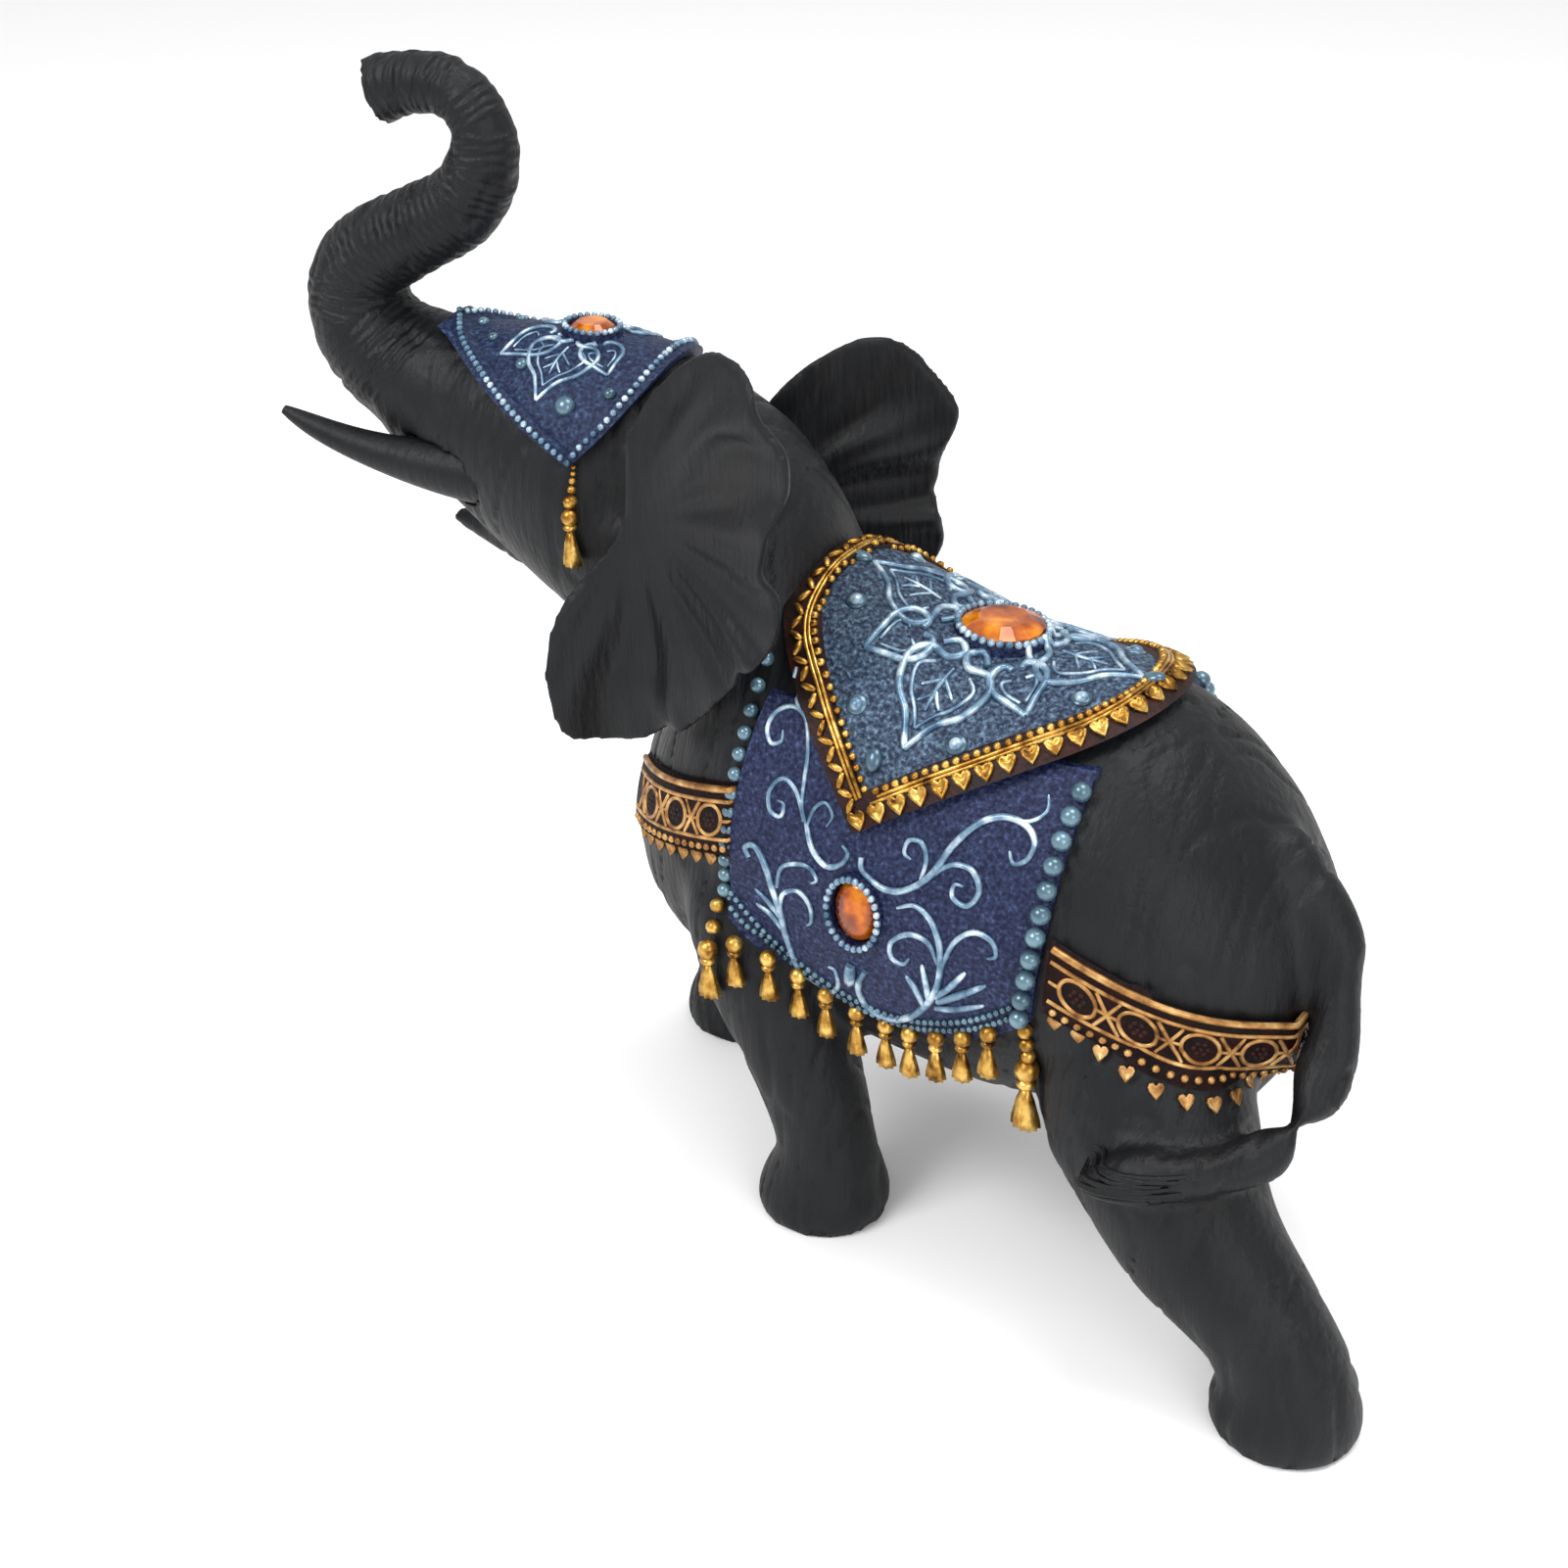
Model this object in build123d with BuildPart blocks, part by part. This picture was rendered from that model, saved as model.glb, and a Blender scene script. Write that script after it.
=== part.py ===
from build123d import *

import os

# A standing elephant figurine with a raised trunk, dressed for a parade.
# Cast resin limbs, head, trunk, ears, tusks and tail meet the cast torso face to face,
# as glued castings do.
# Cloths, bands and settings are thin castings that lie on the torso and the head.
# The stones sit in the settings.
# The elephant faces -X, its left side is -Y, +Z is up and its soles stand on Z = 0.

# Driving dimensions, in millimetres and degrees.
body_length = 151.0
body_half_width = 38.0
body_height = 100.0
belly_height = 34.0
chest_x = -76.0
limb_size = 1.0
trunk_size = 1.0
head_length = 92.0
head_half_width = 25.0
head_half_depth = 27.5
head_yaw = 10.0
neck_x = -50.0
ear_thickness = 2.6
ear_drop = 20.0
tusk_radius = 6.0
glue_gap = 0.08
cloth = 1.1
band = 1.3
border = 1.2
border_width = 5.5
pearl_radius = 2.1
tassel_length = 9.0
tassel_radius = 2.0
back_stone = 16.5
head_stone = 10.0
side_stone_wide = 10.0
side_stone_tall = 14.0
setting_wall = 1.3
eye_radius = 2.1

MIRRORED = {"left": -1, "right": 1}
os.makedirs("parts", exist_ok=True)
pieces = {}


def keep(name, builder):
    """Label a finished piece and hold it until the whole figure is placed."""
    builder.part.label = name
    pieces[name] = builder.part


# ---------------------------------------------------------------- torso
# Each station: share of the length, half-width, lowest and highest point as shares of the body's height.
TORSO = [
    (0.00, 0.30, 0.20, 0.50),
    (0.06, 0.57, 0.10, 0.70),
    (0.15, 0.80, 0.04, 0.89),
    (0.29, 0.94, 0.01, 1.02),
    (0.45, 1.00, 0.00, 0.972),
    (0.60, 1.03, 0.00, 0.938),
    (0.75, 1.00, 0.04, 0.92),
    (0.87, 0.88, 0.10, 0.81),
    (0.955, 0.64, 0.19, 0.66),
    (1.00, 0.38, 0.27, 0.54),
]


def torso_x(share):
    """The place along the body of a share of its length."""
    return chest_x + share * body_length


def torso_z(share):
    """The height of a share of the body's height above the belly line."""
    return belly_height + share * body_height


def torso_sections(grow):
    """Upright oval sections from chest to rump, larger all round by grow."""
    faces = []
    last = len(TORSO) - 1
    for index, (along, wide, low, high) in enumerate(TORSO):
        ends = {0: -grow, last: grow}
        x = torso_x(along) + ends.get(index, 0)
        middle = torso_z((low + high) / 2)
        half = body_height * (high - low) / 2
        with BuildSketch(Plane(origin=(x, 0, middle), x_dir=(0, 1, 0), z_dir=(1, 0, 0))) as section:
            Ellipse(body_half_width * wide + grow, half + grow)
        faces.append(section.sketch)
    return faces


def torso_solid(grow):
    """The plain torso, or the envelope that lies grow outside it."""
    with BuildPart() as body:
        loft(sections=torso_sections(grow))
    return body.part


plain_torso = torso_solid(0)
cloth_envelope = torso_solid(cloth)
saddle_envelope = torso_solid(2 * cloth)
border_envelope = torso_solid(2 * cloth + border)
band_envelope = torso_solid(band)

# ---------------------------------------------------------------- head frame
# The head, with all that is on it, is turned to the elephant's left about an upright line through the neck.
head_turn = Location((neck_x, 0, 0), (0, 0, head_yaw))


def head_plane(x, y, z, forward):
    """A plane of the turned head: square to forward, with its x direction across the head."""
    upright = Plane(origin=(x - neck_x, y, z), x_dir=(0, 1, 0), z_dir=forward)
    return Plane(head_turn * upright.location)


def body_plane(x, y, z, forward):
    """The same kind of plane for what belongs to the body."""
    ahead = Vector(*forward)
    across = Vector(0, 1, 0).cross(ahead).cross(ahead) * -1
    return Plane(origin=(x, y, z), x_dir=across, z_dir=forward)


def limb_sections(stations, plane_at, grow=0.0, lowest=None):
    """Oval sections square to the smooth line through all the stations, each (x, y, z, across, deep)."""
    line = Spline(*[station[:3] for station in stations], mode=Mode.PRIVATE)
    faces = []
    for x, y, z, across, deep in stations:
        heading = line % line.param_at_point((x, y, z))
        if lowest is not None and z <= lowest:
            heading = Vector(0, 0, 1)
        with BuildSketch(plane_at(x, y, z, tuple(heading))) as section:
            Ellipse(across + grow, deep + grow)
        faces.append(section.sketch)
    return faces


# ---------------------------------------------------------------- head
HEAD = [
    (0.20, -40.0, 1.06, 1.00),
    (-0.06, -23.0, 1.02, 1.02),
    (-0.27, -8.0, 1.00, 1.10),
    (-0.44, -1.5, 0.98, 0.98),
    (-0.61, 3.0, 0.80, 0.79),
    (-0.75, 7.0, 0.62, 0.62),
    (-0.85, 12.0, 0.54, 0.53),
]
head_z = 150.0


def head_stations():
    """The head from the neck inside the torso to the root of the trunk."""
    return [
        (neck_x + along * head_length, 0, head_z + rise, head_half_width * wide, head_half_depth * deep)
        for along, rise, wide, deep in HEAD
    ]


def head_solid(grow):
    """The plain head with its neck, or the envelope that lies grow outside it."""
    with BuildPart() as skull:
        loft(sections=limb_sections(head_stations(), head_plane, grow))
    return skull.part


plain_head = head_solid(0)
head_cloth_envelope = head_solid(cloth)
head_border_envelope = head_solid(cloth + border)

# ---------------------------------------------------------------- trunk
# An S in the head's middle plane: down and forward from the face, up and back, and over to the tip.
TRUNK = [
    (-7.8, 15.5, 12.2),
    (-13.0, 23.0, 11.0),
    (-12.0, 31.5, 10.0),
    (-4.5, 38.0, 9.2),
    (5.5, 43.2, 8.6),
    (13.8, 49.0, 8.0),
    (18.0, 56.5, 7.2),
    (18.0, 63.5, 6.4),
    (13.5, 69.3, 6.0),
    (6.5, 71.0, 6.0),
    (0.0, 70.0, 6.2),
    (-4.5, 68.5, 7.0),
]


def trunk_stations():
    """The trunk from its root, where it meets the face, to its tip."""
    root = head_stations()[-1]
    start = (root[0], 0, root[2], root[3], root[4])
    rest = [
        (root[0] + trunk_size * ahead, 0, root[2] + trunk_size * (rise - 12.0), radius, radius)
        for ahead, rise, radius in TRUNK
    ]
    return [start] + rest


def trunk_sections():
    """The first section is the face's own last section, so that the two castings meet."""
    faces = limb_sections(trunk_stations(), head_plane)
    return [limb_sections(head_stations(), head_plane)[-1]] + faces[1:]


with BuildPart() as trunk:
    loft(sections=trunk_sections())
keep("trunk", trunk)

# ---------------------------------------------------------------- tusks
TUSK = [(0.0, 1.05), (0.12, 1.0), (0.30, 0.88), (0.52, 0.68), (0.74, 0.50), (0.90, 0.34), (1.0, 0.16)]
tusk_length = 48.0
tusk_root = (-104.0, 13.0, 146.5)


def tusk_solid(side, grow):
    """A tusk that leaves the cheek, runs forward and turns up at its tip."""
    stations = []
    for share, size in TUSK:
        x = tusk_root[0] - tusk_length * share
        y = side * (tusk_root[1] + 3.0 * share)
        z = tusk_root[2] + 1.5 * share + 7.0 * share**3
        radius = tusk_radius * size + grow
        stations.append((x, y, z, radius, radius))
    with BuildPart() as solid:
        loft(sections=limb_sections(stations, head_plane))
    return solid.part


for side_name, side in MIRRORED.items():
    with BuildPart() as tusk:
        add(tusk_solid(side, 0))
    keep(f"tusk_{side_name}", tusk)

# ---------------------------------------------------------------- head casting
eye_at = (-99.0, 150.0)


def eye_plane(side):
    """A plane at the eye's middle, on the side of the head."""
    return head_plane(eye_at[0], side * head_half_width * 0.80, eye_at[1], (1, 0, 0))


with BuildPart() as head:
    add(plain_head)
    add(plain_torso, mode=Mode.SUBTRACT)
    for side in MIRRORED.values():
        add(tusk_solid(side, glue_gap), mode=Mode.SUBTRACT)
        with Locations(eye_plane(side)):
            Sphere(eye_radius + glue_gap, mode=Mode.SUBTRACT)
keep("head", head)

for side_name, side in MIRRORED.items():
    with BuildPart() as eye:
        with Locations(eye_plane(side)):
            Sphere(eye_radius)
    keep(f"eye_{side_name}", eye)

JAW = [
    (-80.0, 127.0, 13.0, 9.0),
    (-96.0, 127.5, 10.0, 7.5),
    (-109.0, 129.0, 6.5, 4.6),
    (-122.0, 130.5, 2.4, 1.6),
]
with BuildPart() as lower_jaw:
    loft(sections=limb_sections([(x, 0, z, wide, deep) for x, z, wide, deep in JAW], head_plane))
    add(plain_head, mode=Mode.SUBTRACT)
    add(plain_torso, mode=Mode.SUBTRACT)
keep("lower_jaw", lower_jaw)

# ---------------------------------------------------------------- ears
EAR_OUTLINE = [
    (-66.0, 166.0),
    (-52.0, 184.5),
    (-41.5, 188.5),
    (-29.5, 181.0),
    (-26.0, 169.0),
    (-30.0, 158.0),
    (-28.0, 142.0),
    (-37.0, 127.5),
    (-50.0, 112.0),
    (-67.0, 101.0),
    (-77.0, 102.0),
    (-81.0, 114.5),
    (-77.0, 135.0),
    (-68.0, 148.0),
]
EAR_PLAN = [(-88.0, 42.0), (-77.0, 33.0), (-66.0, 27.5), (-50.0, 31.5), (-35.0, 41.0), (-20.0, 49.5)]


def ear_solid(side, drop):
    """A thin curved leaf: the plan curve raised into a wall, cut to the ear's side outline."""
    with BuildPart() as leaf:
        with BuildSketch(Plane(head_turn)) as plan:
            with BuildLine():
                inner = Spline(*[(x - neck_x, side * y) for x, y in EAR_PLAN])
                outer = Spline(*[(x - neck_x, side * (y + ear_thickness)) for x, y in EAR_PLAN])
                Line(inner @ 0, outer @ 0)
                Line(inner @ 1, outer @ 1)
            make_face()
        extrude(amount=head_z * 2)
        with BuildSketch(Plane(head_turn * Plane.XZ.location)) as outline:
            with BuildLine():
                Spline(*[(x - neck_x, z - drop) for x, z in EAR_OUTLINE], periodic=True)
            make_face()
        extrude(amount=body_half_width * 3, both=True, mode=Mode.INTERSECT)
    return leaf.part


for side_name, side in MIRRORED.items():
    with BuildPart() as ear:
        add(ear_solid(side, ear_drop if side > 0 else 0))
        add(plain_head, mode=Mode.SUBTRACT)
        add(plain_torso, mode=Mode.SUBTRACT)
    keep(f"ear_{side_name}", ear)

# ---------------------------------------------------------------- legs
# Each station: x, y, z of the leg's middle and its radius, from the sole up to the inside of the torso.
LEGS = {
    "front_left": [
        (-18, -27, 0, 13.6), (-18, -27, 5, 13.8), (-17.5, -27, 11, 11.8),
        (-18, -27, 18, 10.5), (-21.5, -27, 30, 11.2), (-27, -26, 43, 13.0),
        (-34, -24, 57, 15.2), (-38, -19, 72, 16.0), (-40, -14, 86, 16.0),
    ],
    "front_right": [
        (-70.3, 21.2, 0, 13.6), (-70.3, 21.2, 5, 13.8), (-69.8, 21.2, 11, 11.8),
        (-68, 21.5, 18, 10.5), (-64.5, 22, 30, 11.2), (-58, 22.5, 43, 13.0),
        (-51, 22, 57, 15.2), (-46, 18, 72, 16.0), (-43, 14, 86, 16.0),
    ],
    "rear_left": [
        (90.2, -34.0, 0, 14.0), (90.4, -34.0, 5, 14.4), (89.0, -33.8, 11, 13.0),
        (84.5, -33.4, 19, 12.4), (75.5, -32.2, 27, 14.0), (66, -30, 35.5, 16.4),
        (57, -26, 46, 19.4), (50, -20, 58, 21.0), (45, -13, 70, 20.0),
    ],
    "rear_right": [
        (38, 21, 0, 13.8), (38, 21, 5, 14.0), (38.6, 21, 11, 12.0),
        (40.5, 21.2, 18, 11.2), (45, 21.5, 30, 12.4), (49, 22, 43, 15.5),
        (50.0, 20, 56, 18.4), (48, 15, 68, 19.0), (46, 10, 80, 18.0),
    ],
}
sole_height = 6.0


def leg_solid(stations, grow=0.0):
    """A leg from its flat sole to the inside of the torso."""
    sized = [(x, y, z, radius * limb_size, radius * limb_size) for x, y, z, radius in stations]
    with BuildPart() as solid:
        loft(sections=limb_sections(sized, body_plane, grow, lowest=sole_height))
    return solid.part


plain_legs = {name: leg_solid(stations) for name, stations in LEGS.items()}
for name, solid in plain_legs.items():
    with BuildPart() as leg:
        add(solid)
        add(plain_torso, mode=Mode.SUBTRACT)
    keep(f"leg_{name}", leg)

# ---------------------------------------------------------------- tail
# It leaves the rump, hangs clear of the thigh and swings forward to lie on the left thigh.
TAIL = [
    (0.93, -1.0, 0.66, 6.4), (0.985, -2.0, 0.60, 6.0), (1.03, -6.0, 0.49, 5.2), (1.05, -11.0, 0.39, 4.8),
    (1.053, -19.0, 0.29, 4.6), (1.03, -28.0, 0.225, 4.4), (0.985, -37.0, 0.205, 4.3),
    (0.93, -44.0, 0.205, 5.0), (0.88, -47.0, 0.190, 4.4), (0.84, -48.0, 0.165, 2.4),
]


def tail_stations():
    """The tail's places follow the rump: shares of the body's length and height."""
    return [(torso_x(along), y, torso_z(up), radius, radius) for along, y, up, radius in TAIL]


with BuildPart() as tail:
    loft(sections=limb_sections(tail_stations(), body_plane))
    add(plain_torso, mode=Mode.SUBTRACT)
    add(plain_legs["rear_left"], mode=Mode.SUBTRACT)
keep("tail", tail)

# ---------------------------------------------------------------- stones and settings


def surface_point(solid, start, heading):
    """Where a straight line from start along heading first meets the solid."""
    meets = solid.find_intersection_points(Axis(start, heading))
    return min((point for point, _ in meets), key=lambda point: (point - Vector(*start)).length)


def oval_plug(plane, wide, tall, low, high):
    """An oval plug about a plane, from low to high along its normal."""
    with BuildPart() as plug:
        with BuildSketch(plane.offset(low)):
            Ellipse(wide / 2, tall / 2)
        extrude(amount=high - low)
    return plug.part


def add_jewel(name, plane, wide, tall, floor, rise):
    """A faceted stone in an oval setting, both cut to lie on the floor solid; gives the pocket they need."""
    wall = 2 * setting_wall
    play = 2 * glue_gap
    with BuildPart() as setting:
        add(oval_plug(plane, wide + wall, tall + wall, -tall / 4, rise + 0.4))
        add(oval_plug(plane, wide + play, tall + play, -tall / 2, rise * 3), mode=Mode.SUBTRACT)
        add(floor, mode=Mode.SUBTRACT)
    keep(f"{name}_setting", setting)
    with BuildPart() as stone:
        add(oval_plug(plane, wide, tall, -tall / 4, rise))
        with BuildSketch(plane.offset(rise)) as girdle:
            Ellipse(wide / 2, tall / 2)
        with BuildSketch(plane.offset(rise + wide * 0.14)) as table:
            Ellipse(wide * 0.28, tall * 0.28)
        loft(sections=[girdle.sketch, table.sketch])
        add(floor, mode=Mode.SUBTRACT)
    keep(f"{name}_stone", stone)
    return oval_plug(plane, wide + wall, tall + wall, -tall / 4, rise * 3)


reach = 200.0
stone_stand = 0.6
side_stone_at = (torso_x(0.475), torso_z(0.51))
back_stone_share = 0.53
back_top = surface_point(plain_torso, (torso_x(back_stone_share), 0, reach), (0, 0, -1))
back_plane = Plane(origin=back_top, x_dir=(1, 0, 0), z_dir=(0.06, 0, 1))
back_pocket = add_jewel("back", back_plane, back_stone, back_stone * 0.92,
                        plain_torso, 2 * cloth + stone_stand)

side_pockets = {}
for side_name, side in MIRRORED.items():
    start = (side_stone_at[0], side * reach, side_stone_at[1])
    point = surface_point(plain_torso, start, (0, -side, 0))
    plane = Plane(origin=point, x_dir=(1, 0, 0), z_dir=(0, side, 0))
    side_pockets[side] = add_jewel(f"{side_name}_side", plane, side_stone_wide, side_stone_tall,
                                   plain_torso, cloth + stone_stand)

head_top_start = head_plane(neck_x - 0.41 * head_length, 0, reach * 1.5, (0, 0, 1)).origin
head_top = surface_point(plain_head, tuple(head_top_start), (0, 0, -1))
head_stone_plane = Plane(origin=head_top, x_dir=(1, 0, 0), z_dir=(0.02, 0, 1))
head_pocket = add_jewel("head", head_stone_plane, head_stone, head_stone * 0.9, plain_head, cloth + 0.5)

# ---------------------------------------------------------------- saddle cloth, laid corner to corner
saddle_front = (torso_x(0.262), torso_z(1.10))
saddle_side = (torso_x(0.465), torso_z(0.675))
saddle_back = (torso_x(0.815), torso_z(1.10))


def saddle_cutter(inset):
    """The cloth's side outline, cut straight through the body; inset moves its edges inwards."""
    front_x = saddle_front[0] + 1.5 * inset
    back_x = saddle_back[0] - 1.7 * inset
    low = saddle_side[1] + 1.3 * inset
    crest = torso_z(0.97)
    belly_side = crest - 0.42 * (crest - low)
    with BuildPart() as cutter:
        with BuildSketch(Plane.XZ):
            with BuildLine():
                fore = Spline((front_x, crest + 4),
                              (front_x * 0.52 + saddle_side[0] * 0.48, belly_side + 1),
                              (saddle_side[0], low))
                aft = Spline((saddle_side[0], low),
                             (back_x * 0.62 + saddle_side[0] * 0.38, belly_side + 2),
                             (back_x, crest - 1))
                Polyline(aft @ 1, (back_x, saddle_back[1] + 20), (front_x, saddle_front[1] + 20), fore @ 0)
            make_face()
        extrude(amount=body_half_width * 2, both=True)
    return cutter.part


with BuildPart() as saddle_cloth:
    add(saddle_envelope)
    add(saddle_cutter(0), mode=Mode.INTERSECT)
    add(plain_torso, mode=Mode.SUBTRACT)
    add(back_pocket, mode=Mode.SUBTRACT)
    add(plain_head, mode=Mode.SUBTRACT)
keep("saddle_cloth", saddle_cloth)

with BuildPart() as saddle_border:
    add(border_envelope)
    add(saddle_cutter(0), mode=Mode.INTERSECT)
    add(saddle_cutter(border_width), mode=Mode.SUBTRACT)
    add(saddle_envelope, mode=Mode.SUBTRACT)
    add(plain_head, mode=Mode.SUBTRACT)
keep("saddle_border", saddle_border)

# ---------------------------------------------------------------- side blanket
blanket_front = torso_x(0.27)
blanket_back = torso_x(0.728)
blanket_corner = torso_z(0.38)
blanket_hem = torso_z(0.245)
blanket_top = torso_z(0.86)


def blanket_edges():
    """The front edge, the hem and the rear edge, in side view."""
    middle = (blanket_front + blanket_back) / 2 - 3
    fore = Spline((blanket_front + 4, blanket_top), (blanket_front + 0.5, torso_z(0.62)),
                  (blanket_front, blanket_corner), mode=Mode.PRIVATE)
    hem = ThreePointArc((blanket_front, blanket_corner), (middle, blanket_hem),
                        (blanket_back, blanket_corner + 2), mode=Mode.PRIVATE)
    aft = Spline((blanket_back, blanket_corner + 2), (blanket_back + 1.5, torso_z(0.62)),
                 (blanket_back + 2, blanket_top), mode=Mode.PRIVATE)
    return fore, hem, aft


def blanket_cutter(side):
    """The blanket's outline on one flank, from the middle of the body outwards."""
    fore, hem, aft = blanket_edges()
    with BuildPart() as cutter:
        with BuildSketch(Plane.XZ):
            with BuildLine():
                add([fore, hem, aft])
                Line(aft @ 1, fore @ 0)
            make_face()
        extrude(amount=-side * body_half_width * 2)
    return cutter.part


# The legs' envelopes, for a blanket that hangs over the tops of the legs.
over_legs = {name: leg_solid(LEGS[name], cloth) for name in ("front_left", "front_right")}

for side_name, side in MIRRORED.items():
    with BuildPart() as blanket:
        add(cloth_envelope)
        add(over_legs[f"front_{side_name}"])
        add(blanket_cutter(side), mode=Mode.INTERSECT)
        for solid in (plain_torso, plain_legs[f"front_{side_name}"], saddle_cutter(0), side_pockets[side]):
            add(solid, mode=Mode.SUBTRACT)
    keep(f"blanket_{side_name}", blanket)

# ---------------------------------------------------------------- pearls and tassels of the blanket
front_pearls = 11
back_pearls = 8
hem_tassels = 10
from_top = (Align.CENTER, Align.CENTER, Align.MIN)


def flank_point(side, x, z):
    """The outermost place on the blanket's outer face at a side-view position."""
    name = "front_left" if side < 0 else "front_right"
    outward = [reach]
    for solid in (cloth_envelope, over_legs[name]):
        meets = solid.find_intersection_points(Axis((x, side * reach, z), (0, -side, 0)))
        outward += [reach - abs(point.Y) for point, _ in meets if point.Y * side > 0]
    return Vector(x, side * (reach - min(outward)), z)


def edge_places(side, edge, count, first, last, stand_off, hang=0.0):
    """Places spaced evenly along a blanket edge, outside the outer face all the way down what hangs there."""
    places = []
    for index in range(count):
        on_edge = edge @ (first + (last - first) * index / (count - 1))
        top = flank_point(side, on_edge.X, on_edge.Y)
        bottom = flank_point(side, on_edge.X, on_edge.Y - hang)
        widest = max(abs(top.Y), abs(bottom.Y)) + stand_off
        places.append(Vector(on_edge.X, side * widest, on_edge.Y))
    return places


for side_name, side in MIRRORED.items():
    fore, hem, aft = blanket_edges()
    small_pearl = pearl_radius * 0.8
    with BuildPart() as pearls:
        with Locations(*edge_places(side, fore, front_pearls, 0.16, 0.97, small_pearl * 1.3)):
            Sphere(small_pearl)
        with Locations(*edge_places(side, aft, back_pearls, 0.03, 0.84, pearl_radius * 1.3)):
            Sphere(pearl_radius)
    keep(f"pearls_{side_name}", pearls)
    with BuildPart() as tassels:
        for place in edge_places(side, hem, hem_tassels, 0.04, 0.97, tassel_radius * 1.3, tassel_length):
            with Locations(Plane(origin=place, z_dir=(0, 0, -1))):
                Cone(tassel_radius * 0.35, tassel_radius, tassel_length, align=from_top)
    keep(f"tassels_{side_name}", tassels)

# ---------------------------------------------------------------- chest and rump bands
band_depth = 15.0


def band_slab(near, far, depth):
    """A sloping slab through the body: its top edge runs from near to far in side view."""
    with BuildPart() as slab:
        with BuildSketch(Plane.XZ):
            with BuildLine():
                Polyline(near, far, (far[0], far[1] - depth), (near[0], near[1] - depth), close=True)
            make_face()
        extrude(amount=body_half_width * 2, both=True)
    return slab.part


def band_piece(slab):
    """The layer of a band on the torso, clear of the legs, the neck and the tail."""
    with BuildPart() as layer:
        add(band_envelope)
        add(slab, mode=Mode.INTERSECT)
        add(plain_torso, mode=Mode.SUBTRACT)
        for solid in plain_legs.values():
            add(solid, mode=Mode.SUBTRACT)
        add(tail.part, mode=Mode.SUBTRACT)
        add(plain_head, mode=Mode.SUBTRACT)
    return layer


chest_reach = chest_x - 10
rump_reach = torso_x(1) + 10
blanket_gap = 0.3
chest_top = (blanket_front - blanket_gap, torso_z(0.665))
chest_band = band_piece(band_slab(chest_top, (chest_reach, torso_z(0.51)), band_depth))
keep("chest_band", chest_band)
rump_top = (blanket_back + 2 + blanket_gap, torso_z(0.585))
rump_band = band_piece(band_slab(rump_top, (rump_reach, torso_z(0.40)), band_depth))
keep("rump_band", rump_band)

# ---------------------------------------------------------------- head cloth
cloth_front = (-121.0, 175.0)
cloth_side = (-81.0, 157.0)
cloth_back = (-66.0, 178.0)


def head_cutter(inset):
    """The head cloth's side outline, cut straight through the head."""
    front_x = cloth_front[0] + 1.6 * inset
    back_x = cloth_back[0] - 1.2 * inset
    low = cloth_side[1] + inset
    with BuildPart() as cutter:
        with BuildSketch(Plane(head_turn * Plane.XZ.location)):
            with BuildLine():
                fore = Spline((front_x - neck_x, cloth_front[1]),
                              ((front_x + cloth_side[0]) / 2 - neck_x, low + 9),
                              (cloth_side[0] - neck_x, low))
                aft = Spline((cloth_side[0] - neck_x, low),
                             ((back_x + cloth_side[0]) / 2 - neck_x, low + 8),
                             (back_x - neck_x, cloth_back[1]))
                Polyline(aft @ 1, (back_x - neck_x, cloth_back[1] + 20),
                         (front_x - neck_x, cloth_back[1] + 20), fore @ 0)
            make_face()
        extrude(amount=head_half_width * 2, both=True)
    return cutter.part


ear_parts = [pieces["ear_left"], pieces["ear_right"]]
with BuildPart() as head_cloth:
    add(head_cloth_envelope)
    add(head_cutter(0), mode=Mode.INTERSECT)
    for solid in (plain_head, plain_torso, head_pocket, trunk.part, *ear_parts):
        add(solid, mode=Mode.SUBTRACT)
keep("head_cloth", head_cloth)

with BuildPart() as head_border:
    add(head_border_envelope)
    add(head_cutter(0), mode=Mode.INTERSECT)
    add(head_cutter(2.2), mode=Mode.SUBTRACT)
    for solid in (head_cloth_envelope, plain_torso, trunk.part, *ear_parts):
        add(solid, mode=Mode.SUBTRACT)
keep("head_border", head_border)

for side_name, side in MIRRORED.items():
    start = head_plane(cloth_side[0], side * reach, cloth_side[1] - 6, (0, 0, 1)).origin
    towards = head_plane(cloth_side[0], 0, cloth_side[1] - 6, (0, 0, 1)).origin - start
    top = surface_point(plain_head, tuple(start), tuple(towards))
    with BuildPart() as head_tassel:
        with Locations(Plane(origin=top, z_dir=(0, 0, -1))):
            Cone(tassel_radius * 0.5, tassel_radius, tassel_length * 1.6, align=from_top)
        for solid in (plain_head, pieces["ear_left"], pieces["ear_right"]):
            add(solid, mode=Mode.SUBTRACT)
    keep(f"head_tassel_{side_name}", head_tassel)

with BuildPart() as torso:
    add(plain_torso)
keep("torso", torso)

# ---------------------------------------------------------------- place the figure and write it
everything = Compound(children=[Part(part.wrapped) for part in pieces.values()])
whole = everything.bounding_box()
to_origin = Location((-(whole.min.X + whole.max.X) / 2, -(whole.min.Y + whole.max.Y) / 2, -whole.min.Z))
print("moved by", to_origin.position)
for name, part in pieces.items():
    placed = part.moved(to_origin)
    placed.label = name
    export_step(placed, f"parts/{name}.step")
    print(name, len(placed.solids()), round(placed.volume), placed.bounding_box().size)
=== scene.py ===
# %% [markdown]
# This lesson dresses a cast resin elephant, about 26 cm long, that stands with its trunk raised. The packed
# part gives the castings, the cloths and the stones, and everything here is built around them.
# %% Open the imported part
import math
import random
import bmesh
import bpy
from mathutils import Matrix, Vector, noise
from mathutils.bvhtree import BVHTree


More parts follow.
